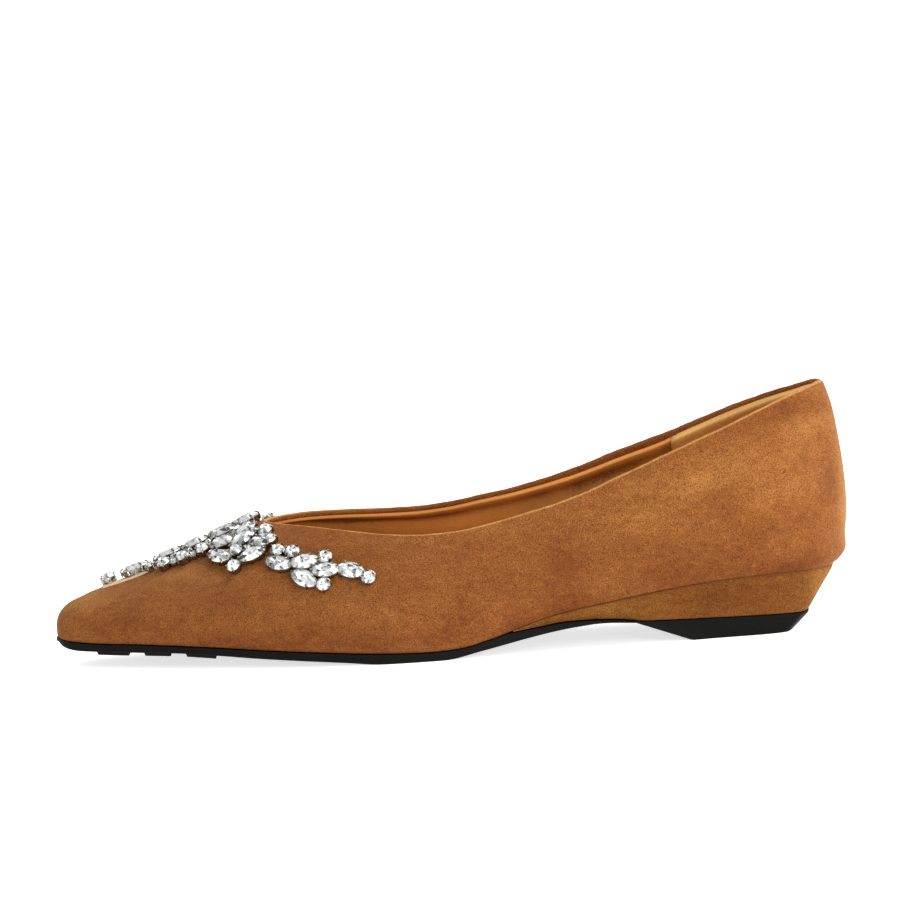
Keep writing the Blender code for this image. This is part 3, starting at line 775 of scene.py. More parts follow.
def wall_normals(side, distance, controls, t):
    """Outward normals of the wall's columns at t."""
    inside = np.clip(t, NORMAL_STEP, 1 - NORMAL_STEP)
    ahead = on_wall(wall_controls(distance + NORMAL_STEP, side), inside)
    behind = on_wall(wall_controls(distance - NORMAL_STEP, side), inside)
    above = on_wall(controls, inside + NORMAL_STEP)
    below = on_wall(controls, inside - NORMAL_STEP)
    return unit(np.cross(ahead - behind, above - below))


def wall_grid(wall, up):
    """Points and outward normals at the lengths up each column, one row of lengths to a column."""
    share = np.linspace(0, 1, ARC_SAMPLES)
    found = [np.interp(row, lengths, share) for row, lengths in zip(up, wall.lengths)]
    t = wall.cut[:, None] * np.array(found)
    normals = wall_normals(wall.side, wall.distance, wall.controls, t)
    foot = up == 0
    level = np.column_stack([outward(wall.distance), np.zeros(len(wall.distance))])
    normals = np.where(foot[..., None], level[:, None], normals)
    crest_x = wall.controls[:, 3, 0]
    tilt = unit(np.column_stack([-ridge_slope(crest_x), 0 * crest_x, 0 * crest_x + 1]))
    at_crest = t > 1 - CREST_STEP
    normals = np.where(at_crest[..., None], tilt[:, None], normals)
    return on_wall(wall.controls, t), normals


def even_rows(wall, rows):
    """Lengths up each column at an even spacing from the feather line to the top."""
    return wall.length[:, None] * np.linspace(0, 1, rows + 1)


def face_rows(wall):
    """Lengths up each column, closer together where the suede is tucked in above the sole."""
    tuck = np.minimum(TUCK_HIGH, wall.length * TUCK_SHARE)[:, None]
    low = tuck * np.linspace(0, 1, TUCK_ROWS + 1)
    high = tuck + (wall.length[:, None] - tuck) * np.linspace(0, 1, FACE_ROWS + 1)
    return np.concatenate([low, high[:, 1:]], axis=1)


def blend_sum(table, points, inner):
    """Sum of soft oval patches over points. The inner side has the same patches, moved along, except near
    the middle of the shoe, where the two sides have to meet."""
    aside = np.abs(points[..., 1] - ridge_across(points[..., 0]))
    moved = BRUSH_SHIFT_INSIDE * np.clip(aside / BRUSH_SHIFT_RUN, 0.0, 1.0)
    along = points[..., 0] - np.where(inner, moved, 0.0)
    total = np.zeros(points.shape[:-1])
    for row in table:
        squares = ((along - row.along) / row.wide) ** 2 + ((points[..., 2] - row.up) / row.high) ** 2
        total += row[-1] * np.exp(-squares)
    return total


def top_loop(outer, inner):
    """The topline as one closed loop from the columns of both sides, throat to back and home."""
    return np.concatenate([outer[VAMP_COLUMNS:], inner[VAMP_COLUMNS + 1 : -1][::-1]])


def point_tree(points):
    """A tree that finds the nearest of some points."""
    tree = kdtree.KDTree(len(points))
    for i, point in enumerate(points):
        tree.insert(point, i)
    tree.balance()
    return tree


def loop_up(points, normals):
    """Directions in the wall that lead up and out of the opening, at each point of the topline."""
    tangent = np.roll(points, -1, axis=0) - np.roll(points, 1, axis=0)
    up = unit(np.cross(unit(tangent), normals))
    return np.where(up[:, 2:] < 0, -up, up)


# Meshes


def to_metres(points):
    """Points of the shoemaker's frame in metres in the CAD's frame."""
    return (np.asarray(points, float) - SHOE_CENTRE) * MM


def add_grid(bm, points):
    """Quads over a grid of points, and the grid of their vertices."""
    verts = [[bm.verts.new(p) for p in line] for line in points]
    for line, following in zip(verts, verts[1:]):
        add_strip(bm, line, following)
    return verts


def add_strip(bm, line, following):
    """Quads between two lines of vertices."""
    for a, b, c, d in zip(line, line[1:], following[1:], following):
        bm.faces.new((a, b, c, d))


def paint(verts, layer, values):
    """Writes a value to a layer of each vertex of a grid."""
    for line, row in zip(verts, values):
        for vert, value in zip(line, row):
            vert[layer] = value


def perimeter(grid):
    """The vertices round the edge of a grid, back to the first."""
    edge = [line[0] for line in grid] + grid[-1][1:]
    edge += [line[-1] for line in reversed(grid[:-1])] + grid[0][-2::-1]
    return edge


def add_layers(bm, layers):
    """A closed slab through grids of points of one size: the first and the last are its faces."""
    top = add_grid(bm, layers[0])
    bottom = add_grid(bm, layers[-1])
    rims = [perimeter(top)]
    for layer in layers[1:-1]:
        edge = perimeter([[tuple(p) for p in line] for line in layer])
        rim = [bm.verts.new(p) for p in edge[:-1]]
        rims.append(rim + rim[:1])
    rims.append(perimeter(bottom))
    for rim, following in zip(rims, rims[1:]):
        add_strip(bm, rim, following)


def close_rings(bm, rings):
    """Joins rings of vertices into a tube and closes its two ends."""
    for ring, following in zip(rings, rings[1:]):
        add_strip(bm, ring + ring[:1], following + following[:1])
    bm.faces.new(rings[0])
    bm.faces.new(rings[-1])


def add_tube(bm, path, radii, sides):
    """A round bar along a path, closed at both ends."""
    rings = []
    path = [Vector(p) for p in path]
    for i, (point, radius) in enumerate(zip(path, radii)):
        direction = (path[min(i + 1, len(path) - 1)] - path[max(i - 1, 0)]).normalized()
        turn = direction.to_track_quat("Z", "Y").to_matrix()
        ring = []
        for k in range(sides):
            angle = 2 * math.pi * k / sides
            spoke = turn @ Vector((math.cos(angle), math.sin(angle), 0))
            ring.append(bm.verts.new(point + spoke * radius))
        rings.append(ring)
    close_rings(bm, rings)


def slab_mesh(layers):
    """The mesh of one closed slab."""
    bm = bmesh.new()
    add_layers(bm, layers)
    return bm


def new_object(name, data):
    """An object of the scene that holds some data."""
    made = bpy.data.objects.new(name, data)
    bpy.context.scene.collection.objects.link(made)
    return made


def add_piece(name, bm, material, nodes=(), sharp=None):
    """An object from a mesh in the shoemaker's frame, riding on the shoe and standing for CAD nodes. Edges
    that turn by more than sharp degrees stay crisp."""
    bmesh.ops.remove_doubles(bm, verts=bm.verts, dist=MERGE)
    bmesh.ops.recalc_face_normals(bm, faces=bm.faces)
    mesh = bpy.data.meshes.new(name)
    bm.to_mesh(mesh)
    bm.free()
    places = np.zeros(len(mesh.vertices) * 3)
    mesh.vertices.foreach_get("co", places)
    mesh.vertices.foreach_set("co", to_metres(places.reshape(-1, 3)).ravel())
    mesh.update()
    mesh.shade_smooth()
    if sharp is not None:
        mesh.set_sharp_from_angle(angle=math.radians(sharp))
    mesh.materials.append(material)
    piece = new_object(name, mesh)
    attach(piece, BODY)
    if nodes:
        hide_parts(*nodes)
    return piece


# Materials


def add_node(tree, kind, values=None, links=None, stops=()):
    """Adds a node: values for its properties or sockets, links into its sockets, and stops for a ramp."""
    made = tree.nodes.new(kind)
    for key, value in (values or {}).items():
        if isinstance(key, str) and hasattr(made, key):
            setattr(made, key, value)
        else:
            made.inputs[key].default_value = value
    for key, output in (links or {}).items():
        tree.links.new(output, made.inputs[key])
    if stops:
        elements = made.color_ramp.elements
        for position, colour in stops[1:-1]:
            elements.new(position).color = colour
        for element, (position, colour) in zip((elements[0], elements[-1]), (stops[0], stops[-1])):
            element.position = position
            element.color = colour
    return made


def new_material(name, values):
    """A material, its tree and its Principled shader with these values."""
    material = bpy.data.materials.new(name)
    material.use_nodes = True
    tree = material.node_tree
    shader = tree.nodes["Principled BSDF"]
    for key, value in values.items():
        shader.inputs[key].default_value = value
    return material, tree, shader


def hex_stops(shades):
    """Ramp stops of (position, sRGB hex colour) pairs."""
    return [(position, linear(colour)) for position, colour in shades]


def shade_stops(colour, shades, pales=(1.0, 1.0, 1.0)):
    """Ramp stops of a linear colour in lighter and darker shades."""
    stops = []
    for position, shade in shades:
        stops.append((position, (*[part * shade**pale for part, pale in zip(colour, pales)], 1.0)))
    return stops


def pattern(tree, size, detail=2.0, roughness=0.5, drawn_out=1.0):
    """A cloudy pattern with features of a size in millimetres, in the object's own space, which may be
    drawn out along the shoe."""
    space = add_node(tree, "ShaderNodeTexCoord")
    stretch = {"Scale": (1 / drawn_out, 1.0, 1.0)}
    place = add_node(tree, "ShaderNodeMapping", stretch, {"Vector": space.outputs["Object"]})
    values = {"Scale": per_mm(size), "Detail": detail, "Roughness": roughness}
    return add_node(tree, "ShaderNodeTexNoise", values, {"Vector": place.outputs["Vector"]}).outputs["Fac"]


def weighted(tree, base, terms):
    """base plus each (output, share) of the terms."""
    total = None
    for output, share in terms:
        values = {"operation": "MULTIPLY_ADD", 1: share, 2: base}
        links = {0: output}
        if total is not None:
            links[2] = total
        total = add_node(tree, "ShaderNodeMath", values, links).outputs[0]
    return total


def colour_by(tree, shader, tone, stops):
    """Colours the shader by a tone, which picks its place along the stops."""
    ramp = add_node(tree, "ShaderNodeValToRGB", links={"Fac": tone}, stops=stops)
    tree.links.new(ramp.outputs["Color"], shader.inputs["Base Color"])


def roughen_by(tree, shader, tone, rough, swing):
    """Lets the shader's roughness swing about a middle value with a tone."""
    varied = weighted(tree, rough - swing / 2, [(tone, swing)])
    tree.links.new(varied, shader.inputs["Roughness"])


def emboss_by(tree, shader, tone, depth, strength):
    """Raises the shader's surface by a tone, to a depth in millimetres."""
    values = {"Distance": depth * MM, "Strength": strength}
    bump = add_node(tree, "ShaderNodeBump", values, {"Height": tone})
    tree.links.new(bump.outputs["Normal"], shader.inputs["Normal"])


def brushed_suede(name, colour):
    """Microfibre suede, sueded and brushed: a matt pile that lies in lighter and darker strokes, with fine
    dark flecks where fibres part, and a warm sheen where it is seen edge on. The mesh's layer adds
    brushed nap with painted highlights and painted shade."""
    values = {
        "Roughness": 0.95,
        "Specular IOR Level": 0.15,
        "Sheen Weight": 0.20,
        "Sheen Roughness": 0.45,
        "Sheen Tint": linear("#EFBA8A"),
    }
    material, tree, shader = new_material(name, values)
    strokes = pattern(tree, size=9.0, detail=3.0, roughness=0.55, drawn_out=2.2)
    mottle = pattern(tree, size=2.2, detail=3.0, roughness=0.65, drawn_out=1.6)
    # The layer's tone: brushed nap with painted highlights and painted shade
    nap = add_node(tree, "ShaderNodeAttribute", {"attribute_name": "nap"}).outputs["Fac"]
    tone = weighted(tree, base=0.14, terms=[(strokes, 0.32), (mottle, 0.40), (nap, 0.42)])
    pile_stops = shade_stops(colour, NAP_SHADES, NAP_PALES)
    pile = add_node(tree, "ShaderNodeValToRGB", links={"Fac": tone}, stops=pile_stops)
    # Real fibres are 0.02 mm across; the flecks are drawn at 0.3 mm so that they show
    parted = pattern(tree, size=0.3, detail=1.0, roughness=0.6)
    flecks = add_node(tree, "ShaderNodeValToRGB", links={"Fac": parted}, stops=hex_stops(FLECKS))
    values = {"data_type": "RGBA", "blend_type": "MULTIPLY", "Factor": 1.0}
    links = {MIX_FIRST: pile.outputs["Color"], MIX_SECOND: flecks.outputs["Color"]}
    both = add_node(tree, "ShaderNodeMix", values, links)
    tree.links.new(both.outputs[MIX_RESULT], shader.inputs["Base Color"])
    emboss_by(tree, shader, parted, depth=0.25, strength=0.35)
    return material


def smooth_lining(name, colour, rough):
    """Coated lining leather, rolled smooth: an even tan with fine pores and a low satin gloss, with the
    painted highlight and painted shade that its mesh carries."""
    material, tree, shader = new_material(name, {"IOR": 1.5, "Specular IOR Level": 0.12})
    cloud = pattern(tree, size=9.0, detail=3.0)
    # Real pores are about 0.1 mm across; they are drawn at 0.8 mm so that they show
    pores = pattern(tree, size=0.8)
    # Painted highlight and painted shade, carried by the mesh
    crease = add_node(tree, "ShaderNodeAttribute", {"attribute_name": "crease"}).outputs["Fac"]
    tone = weighted(tree, base=0.1, terms=[(cloud, 0.4), (pores, 0.4), (crease, 1.0)])
    colour_by(tree, shader, tone, shade_stops(colour, LINING_SHADES))
    roughen_by(tree, shader, pores, rough, swing=0.2)
    emboss_by(tree, shader, pores, depth=0.08, strength=0.3)
    return material


def moulded_rubber(name, colour, rough):
    """Black rubber from an etched mould: almost black, with a fine matt grain and a dull edge gloss."""
    material, tree, shader = new_material(name, {"IOR": 1.52, "Specular IOR Level": 0.08})
    cloud = pattern(tree, size=6.0, detail=3.0)
    # The etched grain of such a mould is about 0.1 mm; it is drawn at 0.45 mm so that it shows
    grain = pattern(tree, size=0.45)
    tone = weighted(tree, base=-0.1, terms=[(cloud, 0.6), (grain, 0.6)])
    colour_by(tree, shader, tone, shade_stops(colour, RUBBER_SHADES))
    roughen_by(tree, shader, grain, rough, swing=0.24)
    emboss_by(tree, shader, grain, depth=0.06, strength=0.35)
    return material


def foiled_crystal(name):
    """Cut lead glass with a silver foil back: each facet shows a painted reflection, bright or dark, very
    sharp.
    """
    values = {
        "Metallic": 0.4,
        "Roughness": 0.2,
        "Coat Weight": 0.6,
        "Coat Roughness": 0.02,
        "Coat IOR": 1.6,
    }
    material, tree, shader = new_material(name, values)
    # Each facet's painted reflection, which the mesh carries
    facet = add_node(tree, "ShaderNodeAttribute", {"attribute_name": "facet"}).outputs["Fac"]
    flaw = pattern(tree, size=0.9)
    tone = weighted(tree, base=-0.08, terms=[(facet, 1.0), (flaw, 0.16)])
    colour_by(tree, shader, tone, hex_stops(CRYSTAL_PAINTED_REFLECTIONS))
    return material


def plated_claw(name):
    """Brass stamped into claws and plated in bright nickel: a cool mirror with small dull spots."""
    material, tree, shader = new_material(name, {"Metallic": 1.0})
    spots = pattern(tree, size=0.6)
    colour_by(tree, shader, spots, hex_stops(NICKEL_SHADES))
    roughen_by(tree, shader, spots, rough=0.225, swing=0.25)
    return material


def felt_backing(name):
    """Pale pressed felt tape: cream and quite matt, with loose fibres."""
    material, tree, shader = new_material(name, {"Roughness": 0.95})
    # Real fibres are 0.02 mm across; they are drawn at 0.6 mm so that they show
    fibres = pattern(tree, size=0.6, detail=3.0)
    colour_by(tree, shader, fibres, hex_stops(FELT_SHADES))
    emboss_by(tree, shader, fibres, depth=0.15, strength=0.5)
    return material


def lit_acrylic(name):
    """Opal acrylic sheet, cast matt and lit from behind: an even white that keeps shadows pale."""
    values = {
        "Roughness": 0.9,
        "Specular IOR Level": 0.1,
        "Emission Color": linear("#FFFFFF"),
        "Emission Strength": 0.7,
    }
    material, tree, shader = new_material(name, values)
    mottle = pattern(tree, size=60.0, detail=3.0)
    colour_by(tree, shader, mottle, hex_stops(ACRYLIC_SHADES))
    return material


# Sizes, colours and lights that a user would change


def colour_setting(name, what, hex_colour):
    """A colour that a user may change, from its sRGB hex value."""
    default = linear(hex_colour)[:3]
    return bpy.props.FloatVectorProperty(
        name=name, description=what, subtype="COLOR", size=3, min=0.0, max=1.0, default=default
    )


def size_setting(name, what, size, smallest, largest):
    """A size in millimetres that a user may change."""
    return bpy.props.FloatProperty(
        name=name, description=f"{what}, in millimetres", default=size, min=smallest, max=largest
    )


def power_setting(name, what, power):
    """The power of a light, which a user may change."""
    return bpy.props.FloatProperty(
        name=name, description=what, default=power, min=0.0, subtype="POWER", unit="POWER"
    )


class SuedeFlatSettings(bpy.types.PropertyGroup):
    """Colours and sizes of the shoe, and the lights of the studio."""

    suede_colour: colour_setting("Suede", "Middle shade of the upper's suede", "#965C2C")
    wedge_colour: colour_setting("Wedge suede", "Middle shade of the wedge's suede", "#82501F")
    lining_colour: colour_setting("Lining", "Colour of the lining leather", "#B97B3C")
    grip_colour: colour_setting("Heel grip", "Colour of the heel grip", "#D5A361")
    sole_colour: colour_setting("Sole", "Colour of the sole's rubber", "#0C0B0A")
    lift_colour: colour_setting("Heel lift", "Colour of the heel lift's rubber", "#050504")
    room_colour: colour_setting("Room", "Colour of the light that the plain room gives", "#F4F5F6")
    edge_radius: size_setting("Edge radius", "Radius of the turned edge round the collar", 0.95, 0.4, 1.2)
    edge_waver: size_setting("Edge waver", "How far the turned edge wanders up and down", 0.12, 0.0, 0.4)
    back_seam: size_setting("Back seam depth", "Depth of the seam down the heel back", 0.35, 0.0, 0.6)
    key_power: power_setting("Key light", "Power of the soft light over the shoe", 3.8)
    fill_power: power_setting("Fill light", "Power of the large soft light beside the camera", 18.0)
    rim_power: power_setting("Rim light", "Power of the light behind the heel", 2.5)
    board_power: power_setting("Board light", "Power of the light on the board behind the shoe", 12.0)
    room_light: bpy.props.FloatProperty(
        name="Room light",
        description="Strength of the light that the plain room gives",
        default=0.45,
        min=0.0,
    )


def settings():
    """The scene's settings for the shoe."""
    return bpy.context.scene.suede_flat


# Pieces


class SHOE_OT_upper(bpy.types.Operator):
    """Makes the suede upper, with its edge turned in round the collar"""

    bl_idname = "shoe.make_upper"
    bl_label = "Suede upper"

    def execute(self, context):
        radius = settings().edge_radius
        bm = bmesh.new()
        tone = bm.verts.layers.float.new("nap")
        loop = {"points": {}, "normals": {}, "top": {}, "inside": {}}
        for side, wall in make_walls(radius).items():
            up = face_rows(wall)
            points, normals = wall_grid(wall, up)
            inner = side == "inner"
            from_seam = (points[..., 1] - SEAM_ACROSS) / SEAM_WIDE
            seam = np.exp(-(from_seam**2)) * (points[..., 0] > SEAM_FRONT)
            relief = blend_sum(DENTS, points, inner) - settings().back_seam * seam
            over_wedge = np.clip((points[..., 0] - WEDGE_FRONT) / TUCK_RUN, 0.0, 1.0)
            relief -= TUCK_IN * over_wedge * np.clip(1 - up / TUCK_HIGH, 0.0, 1.0) ** 2
            face = add_grid(bm, points + normals * relief[..., None])
            # Brushed nap with painted highlights and painted shade, and the back seam's dark line
            paint(face, tone, blend_sum(NAP_AND_PAINTED_LIGHT, points, inner) + SEAM_TONE * seam)
            points, normals = wall_grid(wall, even_rows(wall, BACKING_ROWS))
            back = add_grid(bm, points - SUEDE_THICK * normals)
            add_strip(bm, [line[0] for line in face], [line[0] for line in back])
            loop["points"][side] = points[:, -1]
            loop["normals"][side] = normals[:, -1]
            loop["top"][side] = np.array([line[-1] for line in face], dtype=object)
            loop["inside"][side] = np.array([line[-1] for line in back], dtype=object)
        joined = {key: top_loop(sides["outer"], sides["inner"]) for key, sides in loop.items()}
        self.turn_edge(bm, tone, joined, radius)
        material = brushed_suede("camel_microfibre_suede_brushed", settings().suede_colour)
        add_piece("upper_suede", bm, material, ["upper"])
        return {"FINISHED"}

    def turn_edge(self, bm, tone, loop, radius):
        """Rolls the suede over the topline and down the inside."""
        points = loop["points"]
        normals = loop["normals"]
        up = loop_up(points, normals)
        depth = fold_depth(points[:, 0])
        waves = np.sin(points[:, 0] * WAVER_QUICK) * np.cos(points[:, 0] * WAVER_SLOW)
        crown = radius + settings().edge_waver * waves
        angles = np.linspace(0, math.pi, FOLD_ARC + 1)[1:]
        profile = [(radius * (1 - math.cos(a)), crown * math.sin(a)) for a in angles]
        profile += [(2 * radius, -depth * share) for share in FOLD_SHARES]
        profile += [(FOLD_BACK, -depth), (FOLD_BACK, -FOLD_RETURN * depth)]
        lines = [list(loop["top"])]
        for inward, rise in profile:
            ring = points - normals * inward + up * np.broadcast_to(rise, len(points))[:, None]
            lines.append([bm.verts.new(p) for p in ring])
        lines.append(list(loop["inside"]))
        # The rim's rows get a painted highlight, the rest of the fold painted shade
        for row, line in enumerate(lines[1:-1]):
            for vert in line:
                vert[tone] = RIM_PAINTED_HIGHLIGHT if row < RIM_HIGHLIGHT_ROWS else FOLD_PAINTED_SHADE
        for line, following in zip(lines, lines[1:]):
            add_strip(bm, line + line[:1], following + following[:1])


def lining_rows(wall):
    """Lengths up each column: close together near the top, where the collar is padded."""
    band = np.minimum(LINING_TOP_BAND, wall.length * LINING_TOP_SHARE)[:, None]
    low = (wall.length[:, None] - band) * np.linspace(0, 1, LINING_LOW_ROWS + 1)
    top = wall.length[:, None] - band + band * np.linspace(0, 1, LINING_TOP_ROWS + 1)
    return np.concatenate([low, top[:, 1:]], axis=1)


def below_fold(points, loop):
    """How far each point of the lining lies below the end of the turned suede."""
    tree = point_tree(loop)
    flat = points.reshape(-1, 3)
    distance = np.array([tree.find(p)[2] for p in flat]).reshape(points.shape[:-1])
    return distance - fold_depth(points[..., 0])


def padded_depth(along, below):
    """Depth of the lining's face: tucked behind the fold at its top, and padded under it."""
    share = below / pad_height(along)
    depth = pad_depth(share)
    flatter = LINING_DEPTH + (depth - LINING_DEPTH) * pad_relief(along)
    return np.where(share > PAD_START, flatter, depth)


class SHOE_OT_lining(bpy.types.Operator):
    """Makes the padded lining and the heel grip inside the upper"""

    bl_idname = "shoe.make_lining"
    bl_label = "Lining and heel grip"

    def execute(self, context):
        walls = make_walls(settings().edge_radius)
        grids = {side: wall_grid(wall, lining_rows(wall)) for side, wall in walls.items()}
        tops = [points[:, -1] - LINING_DEPTH * normals[:, -1] for points, normals in grids.values()]
        loop = top_loop(*tops)
        bm = bmesh.new()
        crease = bm.verts.layers.float.new("crease")
        grip = []
        for points, normals in grids.values():
            below = below_fold(points - LINING_DEPTH * normals, loop)
            depth = padded_depth(points[..., 0], below)
            self.add_side(bm, crease, points, normals, depth, below)
            grip.append(self.grip_faces(points, normals, depth, below))
        material = smooth_lining("tan_lining_leather_rolled", settings().lining_colour, rough=0.42)
        add_piece("collar_lining", bm, material)
        layers = [np.concatenate([outer, inner[-2::-1]]) for outer, inner in zip(*grip)]
        material = smooth_lining("honey_grip_leather_buffed", settings().grip_colour, rough=0.75)
        add_piece("heel_grip", slab_mesh(layers), material)
        return {"FINISHED"}

    def add_side(self, bm, crease, points, normals, depth, below):
        """The lining's face and back on one side, joined along the foot and the topline."""
        face = add_grid(bm, points - depth[..., None] * normals)
        inside = np.stack([points[..., 0], depth, below], axis=-1)
        # Painted highlight along the roll's crown and painted shade under it
        paint(face, crease, blend_sum(LINING_PAINTED_LIGHT, inside, False))
        back = add_grid(bm, points - LINING_BACK * normals)
        add_strip(bm, [line[0] for line in face], [line[0] for line in back])
        top = slice(VAMP_COLUMNS, None)
        add_strip(bm, [line[-1] for line in face[top]], [line[-1] for line in back[top]])

    def grip_faces(self, points, normals, depth, below):
        """The heel grip's two faces on one side, the one that shows first."""
        heel = points[:, -1, 0] > GRIP_FRONT
        shown = np.clip((below - GRIP_START) / GRIP_RUN, 0.0, 1.0)
        under = points - (depth + GRIP_BACK)[..., None] * normals
        over = under - (GRIP_EDGE + GRIP_THICK * shown)[..., None] * normals
        return over[heel], under[heel]


def rungs(stations, outer, inner, height, shares):
    """A grid of points: a line across the foot at each station, divided by shares from outer to inner."""
    left = outer(stations)[:, None]
    right = inner(stations)[:, None]
    across = left + (right - left) * shares
    along = np.broadcast_to(stations[:, None], across.shape)
    up = np.broadcast_to(height(stations)[:, None], across.shape)
    return np.stack([along, across, up], axis=2)


def inset_rungs(inset, height, span, shares):
    """Rungs across the outline moved inward. span gives shares of the way from its toe to its heel."""
    outer, first, last = outline_side("outer", inset)
    inner = outline_side("inner", inset)[0]
    stations = first + END_TRIM + (last - first - 2 * END_TRIM) * span
    return rungs(stations, outer, inner, height, shares)


class SHOE_OT_insole(bpy.types.Operator):
    """Makes the insole with its rounded sock"""

    bl_idname = "shoe.make_insole"
    bl_label = "Insole"

    def execute(self, context):
        span = (1 - np.cos(np.linspace(0, math.pi, SLAB_STATIONS))) / 2
        shares = np.linspace(0, 1, SLAB_LINES)
        layers = []
        for inset, down in INSOLE_RIMS:
            layer = inset_rungs(LINING_DEPTH + GAP + inset, seat_height, span, shares)
            layer[..., 2] += INSOLE_THICK - down
            layers.append(layer)
        material = smooth_lining("tan_sock_leather_rolled", settings().lining_colour, rough=0.55)
        add_piece("insole_sock", slab_mesh(layers), material, ["insole"], sharp=50)
        return {"FINISHED"}


def pulled_in(layer, inset):
    """A layer of the wedge drawn in towards its heart by a distance in plan."""
    moved = layer.copy()
    inward = np.array(WEDGE_HEART) - layer[..., :2]
    inward[..., 0] = np.minimum(inward[..., 0], 0.0)
    distance = np.linalg.norm(inward, axis=2, keepdims=True)
    moved[..., :2] += inward * inset / np.maximum(distance, HEART_CLEAR)
    return moved


class SHOE_OT_wedge(bpy.types.Operator):
    """Makes the suede-covered wedge"""

    bl_idname = "shoe.make_wedge"
    bl_label = "Covered wedge"

    def execute(self, context):
        turn = np.sin(np.linspace(0, math.pi / 2, SLAB_STATIONS))
        shares = np.linspace(0, 1, SLAB_LINES)
        last = outline_side("outer")[2] - END_TRIM
        top_stations = WEDGE_FRONT + (last - WEDGE_FRONT) * turn
        foot_stations = WEDGE_FRONT + (FOOT[-1].along - WEDGE_FRONT) * turn
        outer = outline_side("outer")[0]
        inner = outline_side("inner")[0]
        top = rungs(top_stations, outer, inner, lambda x: seat_height(x) - WEDGE_SEAM, shares)
        bottom = rungs(foot_stations, foot_outer, foot_inner, underside_height, shares)
        layers = []
        for share, inset in WEDGE_PROFILE:
            layers.append(pulled_in(top + (bottom - top) * share, inset))
        bm = bmesh.new()
        tone = bm.verts.layers.float.new("nap")
        add_layers(bm, layers)
        places = np.array([vert.co for vert in bm.verts])
        # Brushed nap with a painted highlight where the wedge turns round the back
        paint([bm.verts], tone, [blend_sum(WEDGE_NAP_AND_PAINTED_LIGHT, places, False)])
        material = brushed_suede("camel_wedge_suede_brushed", settings().wedge_colour)
        add_piece("wedge_cover", bm, material, ["wedge_heel"], sharp=45)
        return {"FINISHED"}


def sole_top(along):
    """Top of the outsole: under the upper, and further back under the wedge."""
    under_wedge = np.where(along > UNDERSIDE[0].along, underside_height(along), np.inf)
    return np.minimum(seat_height(along), under_wedge) - GAP


def groove_spans():
    """Where the tread's grooves run across the forefoot."""
    starts = np.arange(GROOVE_FIRST, GROOVE_LAST, GROOVE_PITCH)
    return [(start, start + GROOVE_WIDTH) for start in starts]


def in_spans(along, spans):
    """1 at stations well inside a span, 0 elsewhere."""
    flat = [(start + LUG_SLOPE / 2, end - LUG_SLOPE / 2) for start, end in spans]
    return np.array([float(any(start < x < end for start, end in flat)) for x in along])


def sole_stations(first):
    """Stations of the outsole, with the edges of each lug and groove among them."""
    edges = []
    for start, end in LUG_SPANS + groove_spans():
        edges += [start, start + LUG_SLOPE, end - LUG_SLOPE, end]
    turn = 1 - np.cos(np.linspace(0, math.pi / 2, SOLE_STATIONS))
    plain = first + END_TRIM + (SOLE_END - first - END_TRIM) * turn
    free = [x for x in plain if min(abs(x - edge) for edge in edges) > LUG_SLOPE]
    return np.array(sorted(free + edges))


def sole_lines(width):
    """Shares of the sole's width at which its lines run, a row to each station."""
    start = np.zeros(len(width))
    insets = [EDGE_ROUND, LUG_INSET, LUG_INSET + LUG_SLOPE, GROOVE_INSET, GROOVE_INSET + LUG_SLOPE]
    near = []
    for i, inset in enumerate(insets):
        near.append(np.minimum(inset / width, RIM_SHARE + RIM_SHARE_STEP * i))
    far = [1 - share for share in reversed(near)]
    return np.stack([start, *near, start + 0.5, *far, 1 - start], axis=1)


class SHOE_OT_outsole(bpy.types.Operator):
    """Makes the rubber sole with its lugs and grooves"""

    bl_idname = "shoe.make_outsole"
    bl_label = "Outsole"

    def execute(self, context):
        outer, first, _ = outline_side("outer", -SOLE_MARGIN)
        inner = outline_side("inner", -SOLE_MARGIN)[0]
        stations = sole_stations(first)
        shares = sole_lines(inner(stations) - outer(stations))
        top = rungs(stations, outer, inner, sole_top, shares)
        to_tip = np.clip(1 - (stations - first) / TOE_REACH_RUN, 0.0, 1.0)
        top[:, :, 0] -= (TOE_REACH * to_tip**2)[:, None]
        bottom = top.copy()
        bottom[:, :, 2] = tread_height(stations)[:, None]
        bottom[:, LUG_LINES, 2] -= LUG_HEIGHT * in_spans(stations, LUG_SPANS)[:, None]
        bottom[:, GROOVE_LINES, 2] += GROOVE_DEPTH * in_spans(stations, groove_spans())[:, None]
        thick = top[:, :1, 2] - tread_height(stations)[:, None]
        soft = np.minimum(EDGE_ROUND, thick * ROUND_SHARE)
        upper_edge = top.copy()
        upper_edge[:, :, 2] -= soft
        lower_edge = bottom.copy()
        lower_edge[:, :, 2] += soft
        bottom[:, 0] = bottom[:, 1]
        bottom[:, -1] = bottom[:, -2]
        layers = [top, upper_edge, lower_edge, bottom]
        material = moulded_rubber("black_sole_rubber_moulded", settings().sole_colour, rough=0.6)
        add_piece("outsole_rubber", slab_mesh(layers), material, ["outsole"], sharp=35)
        return {"FINISHED"}


